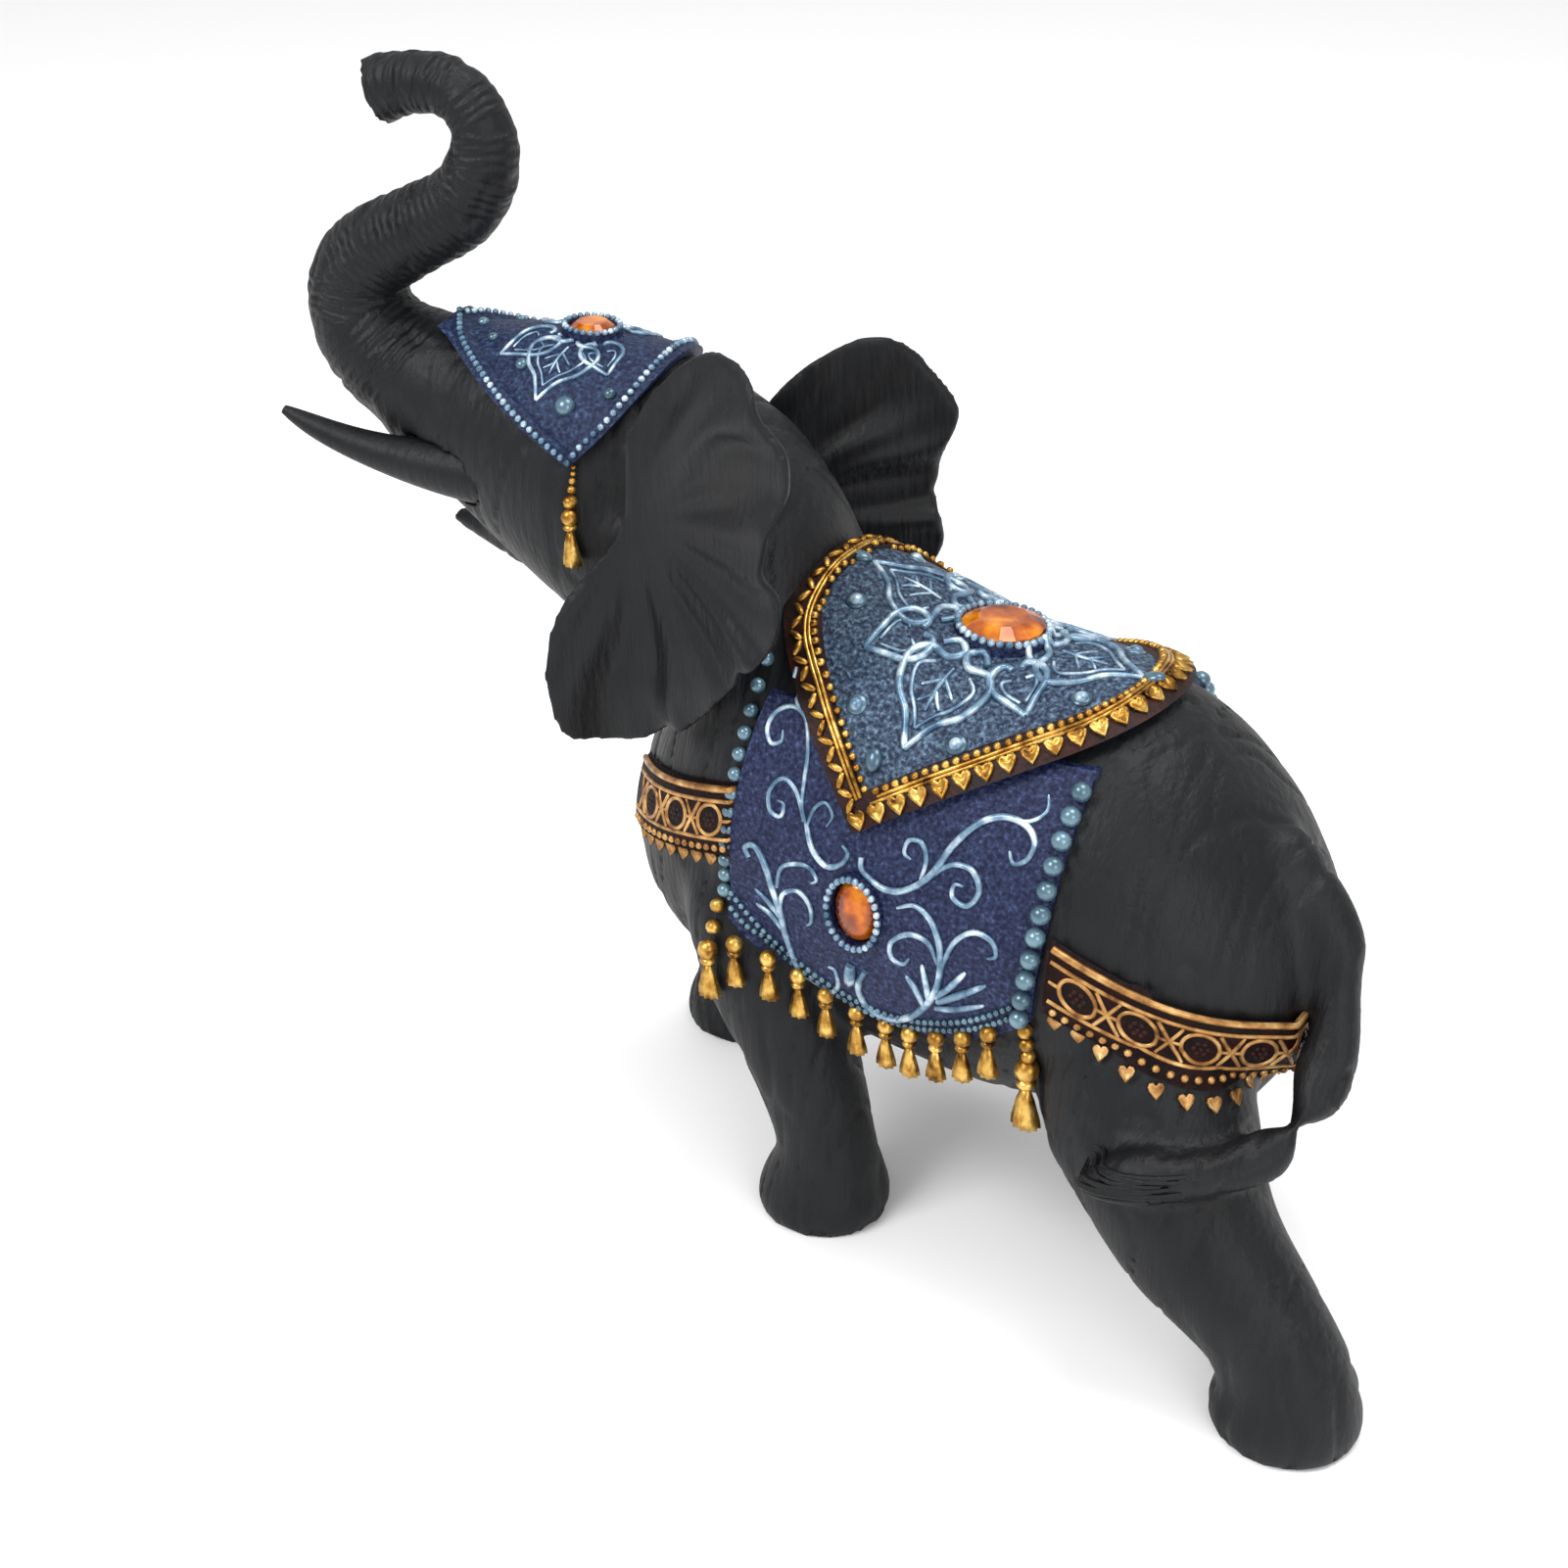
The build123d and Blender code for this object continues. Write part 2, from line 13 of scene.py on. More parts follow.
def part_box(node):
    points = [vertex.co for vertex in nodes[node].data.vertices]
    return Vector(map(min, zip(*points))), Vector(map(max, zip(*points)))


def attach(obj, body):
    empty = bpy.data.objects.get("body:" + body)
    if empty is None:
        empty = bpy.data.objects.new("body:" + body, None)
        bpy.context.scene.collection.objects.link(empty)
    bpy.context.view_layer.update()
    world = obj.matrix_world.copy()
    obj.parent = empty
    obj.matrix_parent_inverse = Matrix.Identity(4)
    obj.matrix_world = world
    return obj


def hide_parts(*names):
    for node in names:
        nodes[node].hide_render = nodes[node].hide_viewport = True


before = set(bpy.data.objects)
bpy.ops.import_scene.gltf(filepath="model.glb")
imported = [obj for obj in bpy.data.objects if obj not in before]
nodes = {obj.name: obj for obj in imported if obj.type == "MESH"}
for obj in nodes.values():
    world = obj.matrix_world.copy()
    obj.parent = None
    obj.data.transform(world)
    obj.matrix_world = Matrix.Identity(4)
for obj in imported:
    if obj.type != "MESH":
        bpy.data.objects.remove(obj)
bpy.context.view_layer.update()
MM = 0.001
print("nodes", len(nodes))

# %% [markdown]
# The part's source was drawn in millimetres about the left front sole, before the whole figure was centred.
# The torso's box says how far it was moved, so places read off the real figure can be given in those
# millimetres. Left is a positive side below, because the left flank is the one with the open view.
# %% Places on the figure
CHEST_X = -76.0
SIDES = {"left": 1, "right": -1}
NECK_X = -50.0
HEAD_YAW = math.radians(10.0)
torso_low, torso_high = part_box("torso")
spine_y = (torso_low[1] + torso_high[1]) / 2


def body_place(x, y, z):
    """A place of the body, in the source's millimetres."""
    return Vector((torso_low[0] + (x - CHEST_X) * MM, spine_y + y * MM, z * MM))


def head_place(x, y, z):
    """A place of the head, which is turned about an upright line through the neck."""
    ahead = x - NECK_X
    turned_x = NECK_X + ahead * math.cos(HEAD_YAW) - y * math.sin(HEAD_YAW)
    turned_y = ahead * math.sin(HEAD_YAW) + y * math.cos(HEAD_YAW)
    return body_place(turned_x, turned_y, z)


def to_head(point):
    """The other way round: the head's own millimetres of a place."""
    ahead = (point.x - torso_low[0]) / MM + CHEST_X - NECK_X
    aside = (point.y - spine_y) / MM
    x = NECK_X + ahead * math.cos(HEAD_YAW) + aside * math.sin(HEAD_YAW)
    y = -ahead * math.sin(HEAD_YAW) + aside * math.cos(HEAD_YAW)
    return x, y, point.z / MM


print("chest at", [round(value / MM, 1) for value in torso_low])

# %% [markdown]
# Finishes come next. The resin is matt black, and the paint is laid cold over it by hand: a stippled blue
# ground, a pale blue-silver dragged over the raised ornament, an antique gold with dark in its hollows, and a
# maroon wash. Each is one shader with a noise that breaks up its colour and another that roughens its
# surface.
# %% Helpers for finishes


def new_finish(name, roughness, metallic=0.0, coat=0.0):
    """An empty finish with its shader; the colour and the bump are joined on after."""
    finish = bpy.data.materials.new(name)
    finish.use_nodes = True
    shader = finish.node_tree.nodes["Principled BSDF"]
    shader.inputs["Roughness"].default_value = roughness
    shader.inputs["Metallic"].default_value = metallic
    shader.inputs["Coat Weight"].default_value = coat
    return finish, shader


def noise_node(finish, scale, detail, stretch=(1.0, 1.0, 1.0)):
    """A noise that stays on the piece; scale counts its spots in a metre."""
    tree = finish.node_tree
    where = tree.nodes.new("ShaderNodeTexCoord")
    mapping = tree.nodes.new("ShaderNodeMapping")
    mapping.inputs["Scale"].default_value = stretch
    spots = tree.nodes.new("ShaderNodeTexNoise")
    spots.inputs["Scale"].default_value = scale
    spots.inputs["Detail"].default_value = detail
    tree.links.new(where.outputs["Object"], mapping.inputs["Vector"])
    tree.links.new(mapping.outputs["Vector"], spots.inputs["Vector"])
    return spots


def colour_by(finish, shader, source, stops):
    """Colours a finish by a noise, through a ramp of (place, colour) stops."""
    tree = finish.node_tree
    ramp = tree.nodes.new("ShaderNodeValToRGB")
    while len(ramp.color_ramp.elements) < len(stops):
        ramp.color_ramp.elements.new(0.5)
    for element, (place, colour) in zip(ramp.color_ramp.elements, stops):
        element.position = place
        element.color = (*colour, 1.0)
    tree.links.new(source.outputs[0], ramp.inputs["Fac"])
    tree.links.new(ramp.outputs["Color"], shader.inputs["Base Color"])
    return ramp


def roughen(finish, shader, source, height_mm, strength=1.0, under=None):
    """Raises a surface by a noise, height_mm from its lowest to its highest."""
    tree = finish.node_tree
    bump = tree.nodes.new("ShaderNodeBump")
    bump.inputs["Distance"].default_value = height_mm * MM
    bump.inputs["Strength"].default_value = strength
    tree.links.new(source.outputs[0], bump.inputs["Height"])
    if under is not None:
        tree.links.new(under.outputs["Normal"], bump.inputs["Normal"])
    tree.links.new(bump.outputs["Normal"], shader.inputs["Normal"])
    return bump


def math_step(finish, operation, *values):
    """One sum inside a finish; each value is a number, or a socket that is joined on."""
    step = finish.node_tree.nodes.new("ShaderNodeMath")
    step.operation = operation
    for socket, value in zip(step.inputs, values):
        if isinstance(value, float):
            socket.default_value = value
        else:
            finish.node_tree.links.new(value, socket)
    return step


print("finish helpers ready")

# %% [markdown]
# The resin's skin has a fine tooth from the mould, and long shallow scratches that run down the flanks and
# limbs. Only its highlights show any colour, a cool grey. On the trunk a wave along its length adds fine
# rings.
# %% Black resin
resin, resin_shader = new_finish("black_resin_skin", 0.5)
resin_shader.inputs["Specular IOR Level"].default_value = 0.24
colour_by(resin, resin_shader, noise_node(resin, 60, 4),
          [(0.3, (0.0030, 0.0034, 0.0042)), (0.75, (0.0065, 0.0073, 0.0092))])
tooth = roughen(resin, resin_shader, noise_node(resin, 1500, 3), 0.08, 0.5)
creases = roughen(resin, resin_shader, noise_node(resin, 420, 4, (1.6, 1.0, 0.22)), 0.6, 0.7, tooth)

RING_PITCH_MM = 1.9
RING_DEPTH_MM = 0.3
RING_WAVER_MM = 2.4
run_reader = resin.node_tree.nodes.new("ShaderNodeAttribute")
run_reader.attribute_name = "trunk_run"
along = run_reader.outputs["Fac"]
waver = math_step(resin, "MULTIPLY_ADD", noise_node(resin, 160, 3).outputs[0], RING_WAVER_MM, along)
turns = math_step(resin, "MULTIPLY", waver.outputs[0], 2 * math.pi / RING_PITCH_MM)
wave = math_step(resin, "SINE", turns.outputs[0])
on_trunk = math_step(resin, "GREATER_THAN", along, 0.5)
rings = math_step(resin, "MULTIPLY", wave.outputs[0], on_trunk.outputs[0])
roughen(resin, resin_shader, rings, RING_DEPTH_MM, 0.5, creases)

gloss, gloss_shader = new_finish("black_gloss_eye", 0.08, coat=1.0)
colour_by(gloss, gloss_shader, noise_node(gloss, 900, 2),
          [(0.3, (0.006, 0.005, 0.004)), (0.8, (0.02, 0.014, 0.01))])
print("resin and eye gloss ready")

# %% [markdown]
# The cloths are cast with a grain of tiny worm-like dents, painted navy, and wiped with silver that catches
# the high spots. A fine noise is the grain, and the same noise lifts the surface and chooses where the silver
# stays.
# %% Stippled blue cloth


PALE_SHARE = 0.3
SILVER_SPAN = 0.16


def stippled_blue(name, deep, pale, silver_from):
    """A painted cloth ground: deep in the dents, pale on the high grain."""
    finish, shader = new_finish(name, 0.55, metallic=0.1)
    shader.inputs["Specular IOR Level"].default_value = 0.25
    grain = noise_node(finish, 1150, 3)
    middle = tuple(a * (1 - PALE_SHARE) + b * PALE_SHARE for a, b in zip(deep, pale))
    colour_by(finish, shader, grain, [(0.38, deep), (silver_from, middle), (silver_from + SILVER_SPAN, pale)])
    roughen(finish, shader, grain, 0.45, 0.9)
    return finish


saddle_blue = stippled_blue("saddle_blue_stipple", (0.005, 0.012, 0.034), (0.12, 0.19, 0.28), 0.55)
blanket_blue = stippled_blue("blanket_navy_stipple", (0.0012, 0.0035, 0.026), (0.055, 0.08, 0.19), 0.60)
head_blue = stippled_blue("head_navy_stipple", (0.0012, 0.0045, 0.026), (0.045, 0.085, 0.18), 0.60)
print("blue grounds ready")

# %% [markdown]
# Silver-blue is dragged over the raised scrolls, with painted highlights of near white on it, and gold over
# the braids. A wine-dark wash lies behind the filigree.
# %% Metal paints
silver, silver_shader = new_finish("silver_blue_relief_painted_highlight", 0.33, metallic=0.45)
# Dark blue to silver-blue is the paint; the near-white last stop is a painted highlight in random flecks.
colour_by(silver, silver_shader, noise_node(silver, 260, 4),
          [(0.32, (0.045, 0.10, 0.17)), (0.5, (0.16, 0.26, 0.36)), (0.68, (0.60, 0.72, 0.80))])
roughen(silver, silver_shader, noise_node(silver, 1400, 2), 0.12, 0.6)

pearl, pearl_shader = new_finish("pearl_blue_bead", 0.26, metallic=0.4, coat=0.35)
colour_by(pearl, pearl_shader, noise_node(pearl, 120, 2),
          [(0.35, (0.03, 0.07, 0.105)), (0.65, (0.13, 0.23, 0.29))])

gold, gold_shader = new_finish("antique_gold", 0.34, metallic=0.85)
colour_by(gold, gold_shader, noise_node(gold, 330, 4),
          [(0.30, (0.06, 0.022, 0.004)), (0.47, (0.38, 0.19, 0.03)), (0.7, (0.80, 0.52, 0.14))])
roughen(gold, gold_shader, noise_node(gold, 1300, 2), 0.15, 0.6)

copper, copper_shader = new_finish("rubbed_copper_gold", 0.42, metallic=0.7)
colour_by(copper, copper_shader, noise_node(copper, 300, 4),
          [(0.30, (0.10, 0.032, 0.008)), (0.5, (0.40, 0.20, 0.06)), (0.72, (0.70, 0.44, 0.18))])

wash, wash_shader = new_finish("wine_dark_wash", 0.5)
wash_shader.inputs["Specular IOR Level"].default_value = 0.2
colour_by(wash, wash_shader, noise_node(wash, 240, 4),
          [(0.35, (0.006, 0.002, 0.002)), (0.7, (0.028, 0.005, 0.003))])
roughen(wash, wash_shader, noise_node(wash, 900, 3), 0.3, 0.7)
print("paints ready")

# %% [markdown]
# The stones are amber acrylic with foil behind. Light goes in and comes back warm, which a smooth,
# half-metallic orange under a clear coat gives without tracing light through glass.
# %% Amber stone
amber, amber_shader = new_finish("foiled_amber", 0.16, metallic=0.3, coat=0.25)
amber_shader.inputs["Coat Roughness"].default_value = 0.03
colour_by(amber, amber_shader, noise_node(amber, 150, 3),
          [(0.34, (0.12, 0.016, 0.0005)), (0.5, (0.42, 0.085, 0.001)), (0.68, (0.85, 0.28, 0.006))])
print("finishes", len(bpy.data.materials))

# %% [markdown]
# The torso, head, jaw, trunk, tail and legs are one casting on the real figure. Their solids meet face to
# face, so a copy of them all is remeshed into one skin, and where two solids meet it is relaxed until the
# crease is soft.
# %% One skin from the castings
SKIN_NODES = ["torso", "head", "lower_jaw", "trunk", "tail",
              "leg_front_left", "leg_front_right", "leg_rear_left", "leg_rear_right"]
SKIN_VOXEL = 1.1 * MM
SEAM_REACH = 3.2 * MM
SEAM_ROUNDS = 22
SAME_PLACE = 1e-6


def placed(name, data):
    """An object in the scene that holds a mesh, a curve, a lamp or a camera."""
    holder = bpy.data.objects.new(name, data)
    bpy.context.scene.collection.objects.link(holder)
    return holder


def joined_copy(names):
    """One bmesh that holds merged copies of the named nodes."""
    copy = bmesh.new()
    for name in names:
        copy.from_mesh(nodes[name].data)
    bmesh.ops.remove_doubles(copy, verts=copy.verts, dist=SAME_PLACE)
    return copy


def remeshed(names, voxel):
    """The named nodes as one closed skin of even quads."""
    copy = joined_copy(names)
    rough_mesh = bpy.data.meshes.new("rough")
    copy.to_mesh(rough_mesh)
    copy.free()
    rough = placed("rough", rough_mesh)
    remesh = rough.modifiers.new("even", "REMESH")
    remesh.mode = "VOXEL"
    remesh.voxel_size = voxel
    evaluated = rough.evaluated_get(bpy.context.evaluated_depsgraph_get())
    even_mesh = bpy.data.meshes.new_from_object(evaluated)
    even = bmesh.new()
    even.from_mesh(even_mesh)
    bpy.data.objects.remove(rough)
    return even


def relax(shape, verts):
    """Softens a shape at the given vertices, by one half step."""
    bmesh.ops.smooth_vert(shape, verts=verts, factor=0.5, use_axis_x=True, use_axis_y=True, use_axis_z=True)


def node_tree(name):
    """A search tree over one node's surface."""
    mesh = nodes[name].data
    return BVHTree.FromPolygons([v.co for v in mesh.vertices], [p.vertices for p in mesh.polygons])


skin = remeshed(SKIN_NODES, SKIN_VOXEL)
relax(skin, skin.verts)
skin_trees = [node_tree(name) for name in SKIN_NODES]


def meets_two(place):
    """True where the surfaces of two castings pass close by."""
    near = 0
    for tree in skin_trees:
        if tree.find_nearest(place, SEAM_REACH)[0] is not None:
            near += 1
    return near > 1


seam = [v for v in skin.verts if meets_two(v.co)]
for _ in range(SEAM_ROUNDS):
    relax(skin, seam)
print("skin", len(skin.verts), "seam", len(seam))

# %% [markdown]
# Ornament is laid on with rays: a ray from outside finds the outermost of skin and cloth, and a piece goes
# there. The search trees for that are made now, while the skin is still smooth: one for the dressed figure,
# one for the banded body without its tail, and one for the head without the raised trunk, which would catch
# the rays.
# %% Surface finders
CLOTH_NODES = ["saddle_cloth", "saddle_border", "blanket_left", "blanket_right", "head_cloth", "head_border",
               "back_setting", "head_setting", "left_side_setting", "right_side_setting"]
BAND_NODES = ["torso", "chest_band", "rump_band", "leg_front_left", "leg_front_right", "leg_rear_left",
              "leg_rear_right"]
HEAD_NODES = ["head", "head_cloth", "head_border"]


def surface_tree(names, over=None):
    """A search tree over the named nodes, and over a shape as well where one is given."""
    joined = joined_copy(names)
    if over is not None:
        over_mesh = bpy.data.meshes.new("dressed")
        over.to_mesh(over_mesh)
        joined.from_mesh(over_mesh)
    tree = BVHTree.FromBMesh(joined)
    joined.free()
    return tree


dressed_tree = surface_tree(CLOTH_NODES, skin)
banded_tree = surface_tree(BAND_NODES)
hatted_tree = surface_tree(HEAD_NODES)
BODY_AXIS = 84.0
BODY_GIRTH = 41.0
HEAD_AXIS = 150.0
HEAD_GIRTH = 26.0
RAY = 0.15


def settle(axis, outward, lift, tree=dressed_tree):
    """Goes in from outside to the outermost surface, and lift mm back off it along its normal."""
    hit, normal, _, _ = tree.ray_cast(axis + outward * RAY, -outward)
    if hit is None:
        raise RuntimeError(f"nothing under {axis}")
    if normal.dot(outward) < 0:
        normal = -normal
    return hit + normal * lift * MM, normal


def body_outward(around):
    """The way straight out of the body at a distance round from the spine, in mm, left positive."""
    angle = around / BODY_GIRTH
    return Vector((0, -math.sin(angle), math.cos(angle)))


def on_body(x, around, lift=0.0):
    """A place on the back or flanks."""
    return settle(body_place(x, 0, BODY_AXIS), body_outward(around), lift)


def head_ray(x, around):
    """A place on the head's own turned axis, and the way straight out of it."""
    angle = around / HEAD_GIRTH
    axis = head_place(x, 0, HEAD_AXIS)
    return axis, (head_place(x, -math.sin(angle), HEAD_AXIS + math.cos(angle)) - axis).normalized()


def on_head(x, around, lift=0.0):
    """The same on the head."""
    axis, outward = head_ray(x, around)
    return settle(axis, outward, lift, hatted_tree)


print("finders ready", on_body(0, 0)[0])

# %% [markdown]
# Every new piece is finished the same way: it gets its finish and rides on the one body.
# %% Helpers for pieces


def finish_piece(piece, finish, stands_for=(), smooth=True):
    """Hands a finished piece to the frame."""
    piece.data.materials.clear()
    piece.data.materials.append(finish)
    if smooth and piece.type == "MESH":
        piece.data.shade_smooth()
    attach(piece, "root")
    if stands_for:
        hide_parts(*stands_for)


def mesh_piece(name, shape, finish, stands_for=(), smooth=True):
    """A piece from a bmesh."""
    bmesh.ops.recalc_face_normals(shape, faces=shape.faces)
    mesh = bpy.data.meshes.new(name)
    shape.to_mesh(mesh)
    shape.free()
    piece = placed(name, mesh)
    finish_piece(piece, finish, stands_for, smooth)
    print(name, len(mesh.polygons))
    return piece


def smooth_line(points, per_span=5):
    """A smooth run of points through given ones."""
    ends = [points[0], *points, points[-1]]
    run = []
    for before, start, stop, after in zip(ends, ends[1:], ends[2:], ends[3:]):
        for step in range(per_span):
            t = step / per_span
            run.append(tuple(
                0.5 * (2 * b + (c - a) * t + (2 * a - 5 * b + 4 * c - d) * t**2
                       + (3 * b - a - 3 * c + d) * t**3)
                for a, b, c, d in zip(before, start, stop, after)))
    run.append(tuple(points[-1]))
    return run


def spaced(points, count):
    """Evenly spaced places along a smooth line through given points."""
    run = smooth_line(points, 8)
    lengths = [0.0]
    for a, b in zip(run, run[1:]):
        lengths.append(lengths[-1] + math.dist(a, b))
    places = []
    for index in range(count):
        target = lengths[-1] * index / (count - 1)
        upto = next(i for i in range(1, len(run)) if lengths[i] >= target - 1e-9)
        t = (target - lengths[upto - 1]) / (lengths[upto] - lengths[upto - 1])
        (ax, ay), (bx, by) = run[upto - 1], run[upto]
        places.append((ax + (bx - ax) * t, ay + (by - ay) * t))
    return places


STROKE_PROUD = 0.25


def relief_piece(name, strokes, place, finish, sides=1):
    """Raised lines, settled on the surface and tapered to their ends: each stroke is (points, widest mm, tip share).
    A stroke's middle line stands proud by a quarter of its radius, and sides is -1 for the right flank."""
    curve = bpy.data.curves.new(name, "CURVE")
    curve.dimensions = "3D"
    curve.bevel_depth = MM
    curve.bevel_resolution = 1
    curve.use_fill_caps = True
    for points, widest, tip in strokes:
        run = smooth_line(points)
        spline = curve.splines.new("POLY")
        spline.points.add(len(run) - 1)
        for index, (u, v) in enumerate(run):
            share = index / (len(run) - 1)
            swell = tip + (1 - tip) * math.sin(math.pi * min(1.0, 0.15 + share * 0.85)) ** 0.6
            radius = widest * max(swell, tip)
            here, _ = place(u, v * sides, radius * STROKE_PROUD)
            spline.points[index].co = (*here, 1.0)
            spline.points[index].radius = radius
    finish_piece(placed(name, curve), finish)
    print(name, "strokes", len(strokes))


def stance(place, u, v, heading, lift):
    """A frame on the surface: x along heading in the chart, z off the surface."""
    here, normal = place(u, v, lift)
    ahead, _ = place(u + math.cos(heading), v + math.sin(heading), lift)
    along = ahead - here
    along = (along - normal * along.dot(normal)).normalized()
    across = normal.cross(along)
    turn = Matrix((along, across, normal)).transposed().to_4x4()
    return Matrix.Translation(here) @ turn


def add_bead(shape, centre, radius, squash=1.0, matrix=None, segments=8):
    """One small bead at a centre, or in a given frame."""
    frame_here = matrix if matrix is not None else Matrix.Translation(centre)
    size = Matrix.Diagonal((radius * MM, radius * MM, radius * squash * MM, 1.0))
    bmesh.ops.create_uvsphere(shape, u_segments=segments, v_segments=6, radius=1.0, matrix=frame_here @ size)


HEART = [(0.0, 0.55), (0.33, 0.95), (0.75, 0.85), (0.95, 0.42), (0.72, -0.12), (0.0, -1.0)]


def add_heart(shape, matrix, size, thick):
    """A small domed heart whose tip points along the frame's x."""
    outline = HEART + [(-x, y) for x, y in reversed(HEART[1:-1])]
    rim = [shape.verts.new(matrix @ Vector((-y * size * MM, x * size * MM, -0.2 * MM))) for x, y in outline]
    face = shape.faces.new(rim)
    grown = bmesh.ops.extrude_face_region(shape, geom=[face])
    top = [item for item in grown["geom"] if isinstance(item, bmesh.types.BMVert)]
    for vert in top:
        vert.co += matrix.to_3x3() @ Vector((0, 0, (thick * 0.6 + 0.2) * MM))
    top_face = next(item for item in grown["geom"] if isinstance(item, bmesh.types.BMFace))
    bmesh.ops.inset_region(shape, faces=[top_face], thickness=size * 0.34 * MM, depth=thick * 0.4 * MM)


print("helpers ready")

# %% [markdown]
# The raised trunk carries ring folds, the flanks long shallow ones, and the ears' roots are deep
# hollows. They are pressed into the skin now, each as a depth in millimetres at a place.
# %% Folds of the skin
TRUNK_LINE = [(-128, 162), (-141, 173), (-140, 181.5), (-133, 188), (-123, 193), (-114, 199), (-110, 206.5),
              (-110, 213.5), (-115, 219.5), (-122, 221), (-128, 220), (-133, 218.5)]
TRUNK_PITCH = 3.4
TRUNK_FOLD = 0.15
FLANK_FOLD = 0.75
EAR_HOLLOW = (-73.0, 24.0, 150.0)
HOLLOW_REACH = 7.0
HOLLOW_DEPTH = 3.2
TRUNK_FROM = (-98.0, 148.0)
TRUNK_REACH = 16.0
VALLEY = 0.16
FLOOR_LINE = 1.5 * MM


def fade(value, low, high):
    """0 below low, 1 above high, smooth between."""
    t = min(1.0, max(0.0, (value - low) / (high - low)))
    return t * t * (3 - 2 * t)


def along_trunk(x, z):
    """(distance along the trunk's middle line, distance from it), in mm."""
    best = (0.0, 1e9)
    run = 0.0
    for (ax, az), (bx, bz) in zip(TRUNK_LINE, TRUNK_LINE[1:]):
        length = math.hypot(bx - ax, bz - az)
        t = ((x - ax) * (bx - ax) + (z - az) * (bz - az)) / length**2
        t = min(1.0, max(0.0, t))
        away = math.hypot(x - ax - t * (bx - ax), z - az - t * (bz - az))
        if away < best[1]:
            best = (run + t * length, away)
        run += length
    return best


def line_fold(value):
    """A narrow valley where a noise crosses nought."""
    return -max(0.0, 1.0 - abs(value) / VALLEY) ** 1.5


def run_at(x, z):
    """How far along the trunk a place of the head is, or None away from the trunk."""
    if x >= TRUNK_FROM[0] or z <= TRUNK_FROM[1]:
        return None
    run, away = along_trunk(x, z)
    return run if away < TRUNK_REACH else None


def fold_depth(place):
    """How far out, in mm, the skin moves at a place."""
    x, y, z = to_head(place)
    depth = 0.0
    run = run_at(x, z)
    if run is not None:
        waver = noise.noise(Vector((y * 0.09, run * 0.05, 3.0))) * 5.0
        deep = noise.noise(Vector((run * 0.2, y * 0.12, 8.0))) * 0.5 + 0.75
        ring = math.sin(2 * math.pi * (run + waver) / TRUNK_PITCH)
        depth += TRUNK_FOLD * deep * (abs(ring) ** 0.7 * math.copysign(1, ring)) * fade(run, -2, 10)
    for side in (-1, 1):
        away = math.dist((x, y * side, z), EAR_HOLLOW)
        depth -= HOLLOW_DEPTH * math.exp(-(away / HOLLOW_REACH) ** 2)
    flat = Vector((place.x / MM * 0.16, place.y / MM * 0.05, place.z / MM * 0.035))
    bent = noise.noise(flat * 0.6 + Vector((7.0, 1.0, 2.0))) * 1.4
    depth += FLANK_FOLD * line_fold(noise.noise(flat + Vector((bent, bent * 0.5, 0)))) * 0.8
    depth += 0.25 * noise.noise(place * 90)
    return depth


runs = []
for vert in skin.verts:
    x, _, z = to_head(vert.co)
    runs.append(run_at(x, z) or 0.0)
skin.normal_update()
moves = [v.normal * fold_depth(v.co) * MM for v in skin.verts]
for vert, move in zip(skin.verts, moves):
    if vert.co.z > FLOOR_LINE:
        vert.co += move
body_skin = mesh_piece("resin_skin", skin, resin, SKIN_NODES)
trunk_run = body_skin.data.attributes.new("trunk_run", "FLOAT", "POINT")
trunk_run.data.foreach_set("value", runs)

# %% [markdown]
# Each ear is a thin leaf. Folds fan out from the hollow at its root, and its rim is nicked where folds reach
# it. The CAD leaf is remeshed finely, then whole sheets of it are moved sideways, both faces together.
# %% Ears
EAR_VOXEL = 0.8 * MM
EAR_FOLD = 1.9
EAR_FANS = 9
EAR_ROOT = {"left": (-66.0, 150.0), "right": (-66.0, 130.0)}


def fold_ear(side_name, side):
    """One ear, with its fan of folds."""
    name = f"ear_{side_name}"
    leaf = remeshed([name], EAR_VOXEL)
    for _ in range(3):
        relax(leaf, leaf.verts)
    root_x, root_z = EAR_ROOT[side_name]
    across = (head_place(0, side, 0) - head_place(0, 0, 0)).normalized()
    for vert in leaf.verts:
        x, _, z = to_head(vert.co)
        angle = math.atan2(z - root_z, x - root_x)
        away = math.hypot(x - root_x, z - root_z)
        waver = noise.noise(Vector((x * 0.05, z * 0.05, 5.0 * side))) * 1.6
        fan = math.sin(angle * EAR_FANS + waver)
        small = math.sin(angle * EAR_FANS * 2.7 + waver * 2.0 + 1.0)
        height = EAR_FOLD * (0.75 * fan + 0.25 * small) * fade(away, 6, 34)
        fine = noise.noise(Vector((angle * 9.0, away * 0.06, 2.0))) * 0.35 * fade(away, 8, 20)
        curl = 1.6 * fade(away, 34, 52)
        vert.co += across * (height + fine - curl) * MM
        nick = 2.0 * fade(away, 26, 44) * max(0.0, math.sin(angle * EAR_FANS + waver + 1.2)) ** 2
        pull = 1 - nick / max(away, 1.0)
        pulled = head_place(root_x + (x - root_x) * pull, 0, root_z + (z - root_z) * pull)
        vert.co += pulled - head_place(x, 0, z)
    mesh_piece(f"{name}_leaf", leaf, resin, [name])


fold_ear("left", -1)
fold_ear("right", 1)

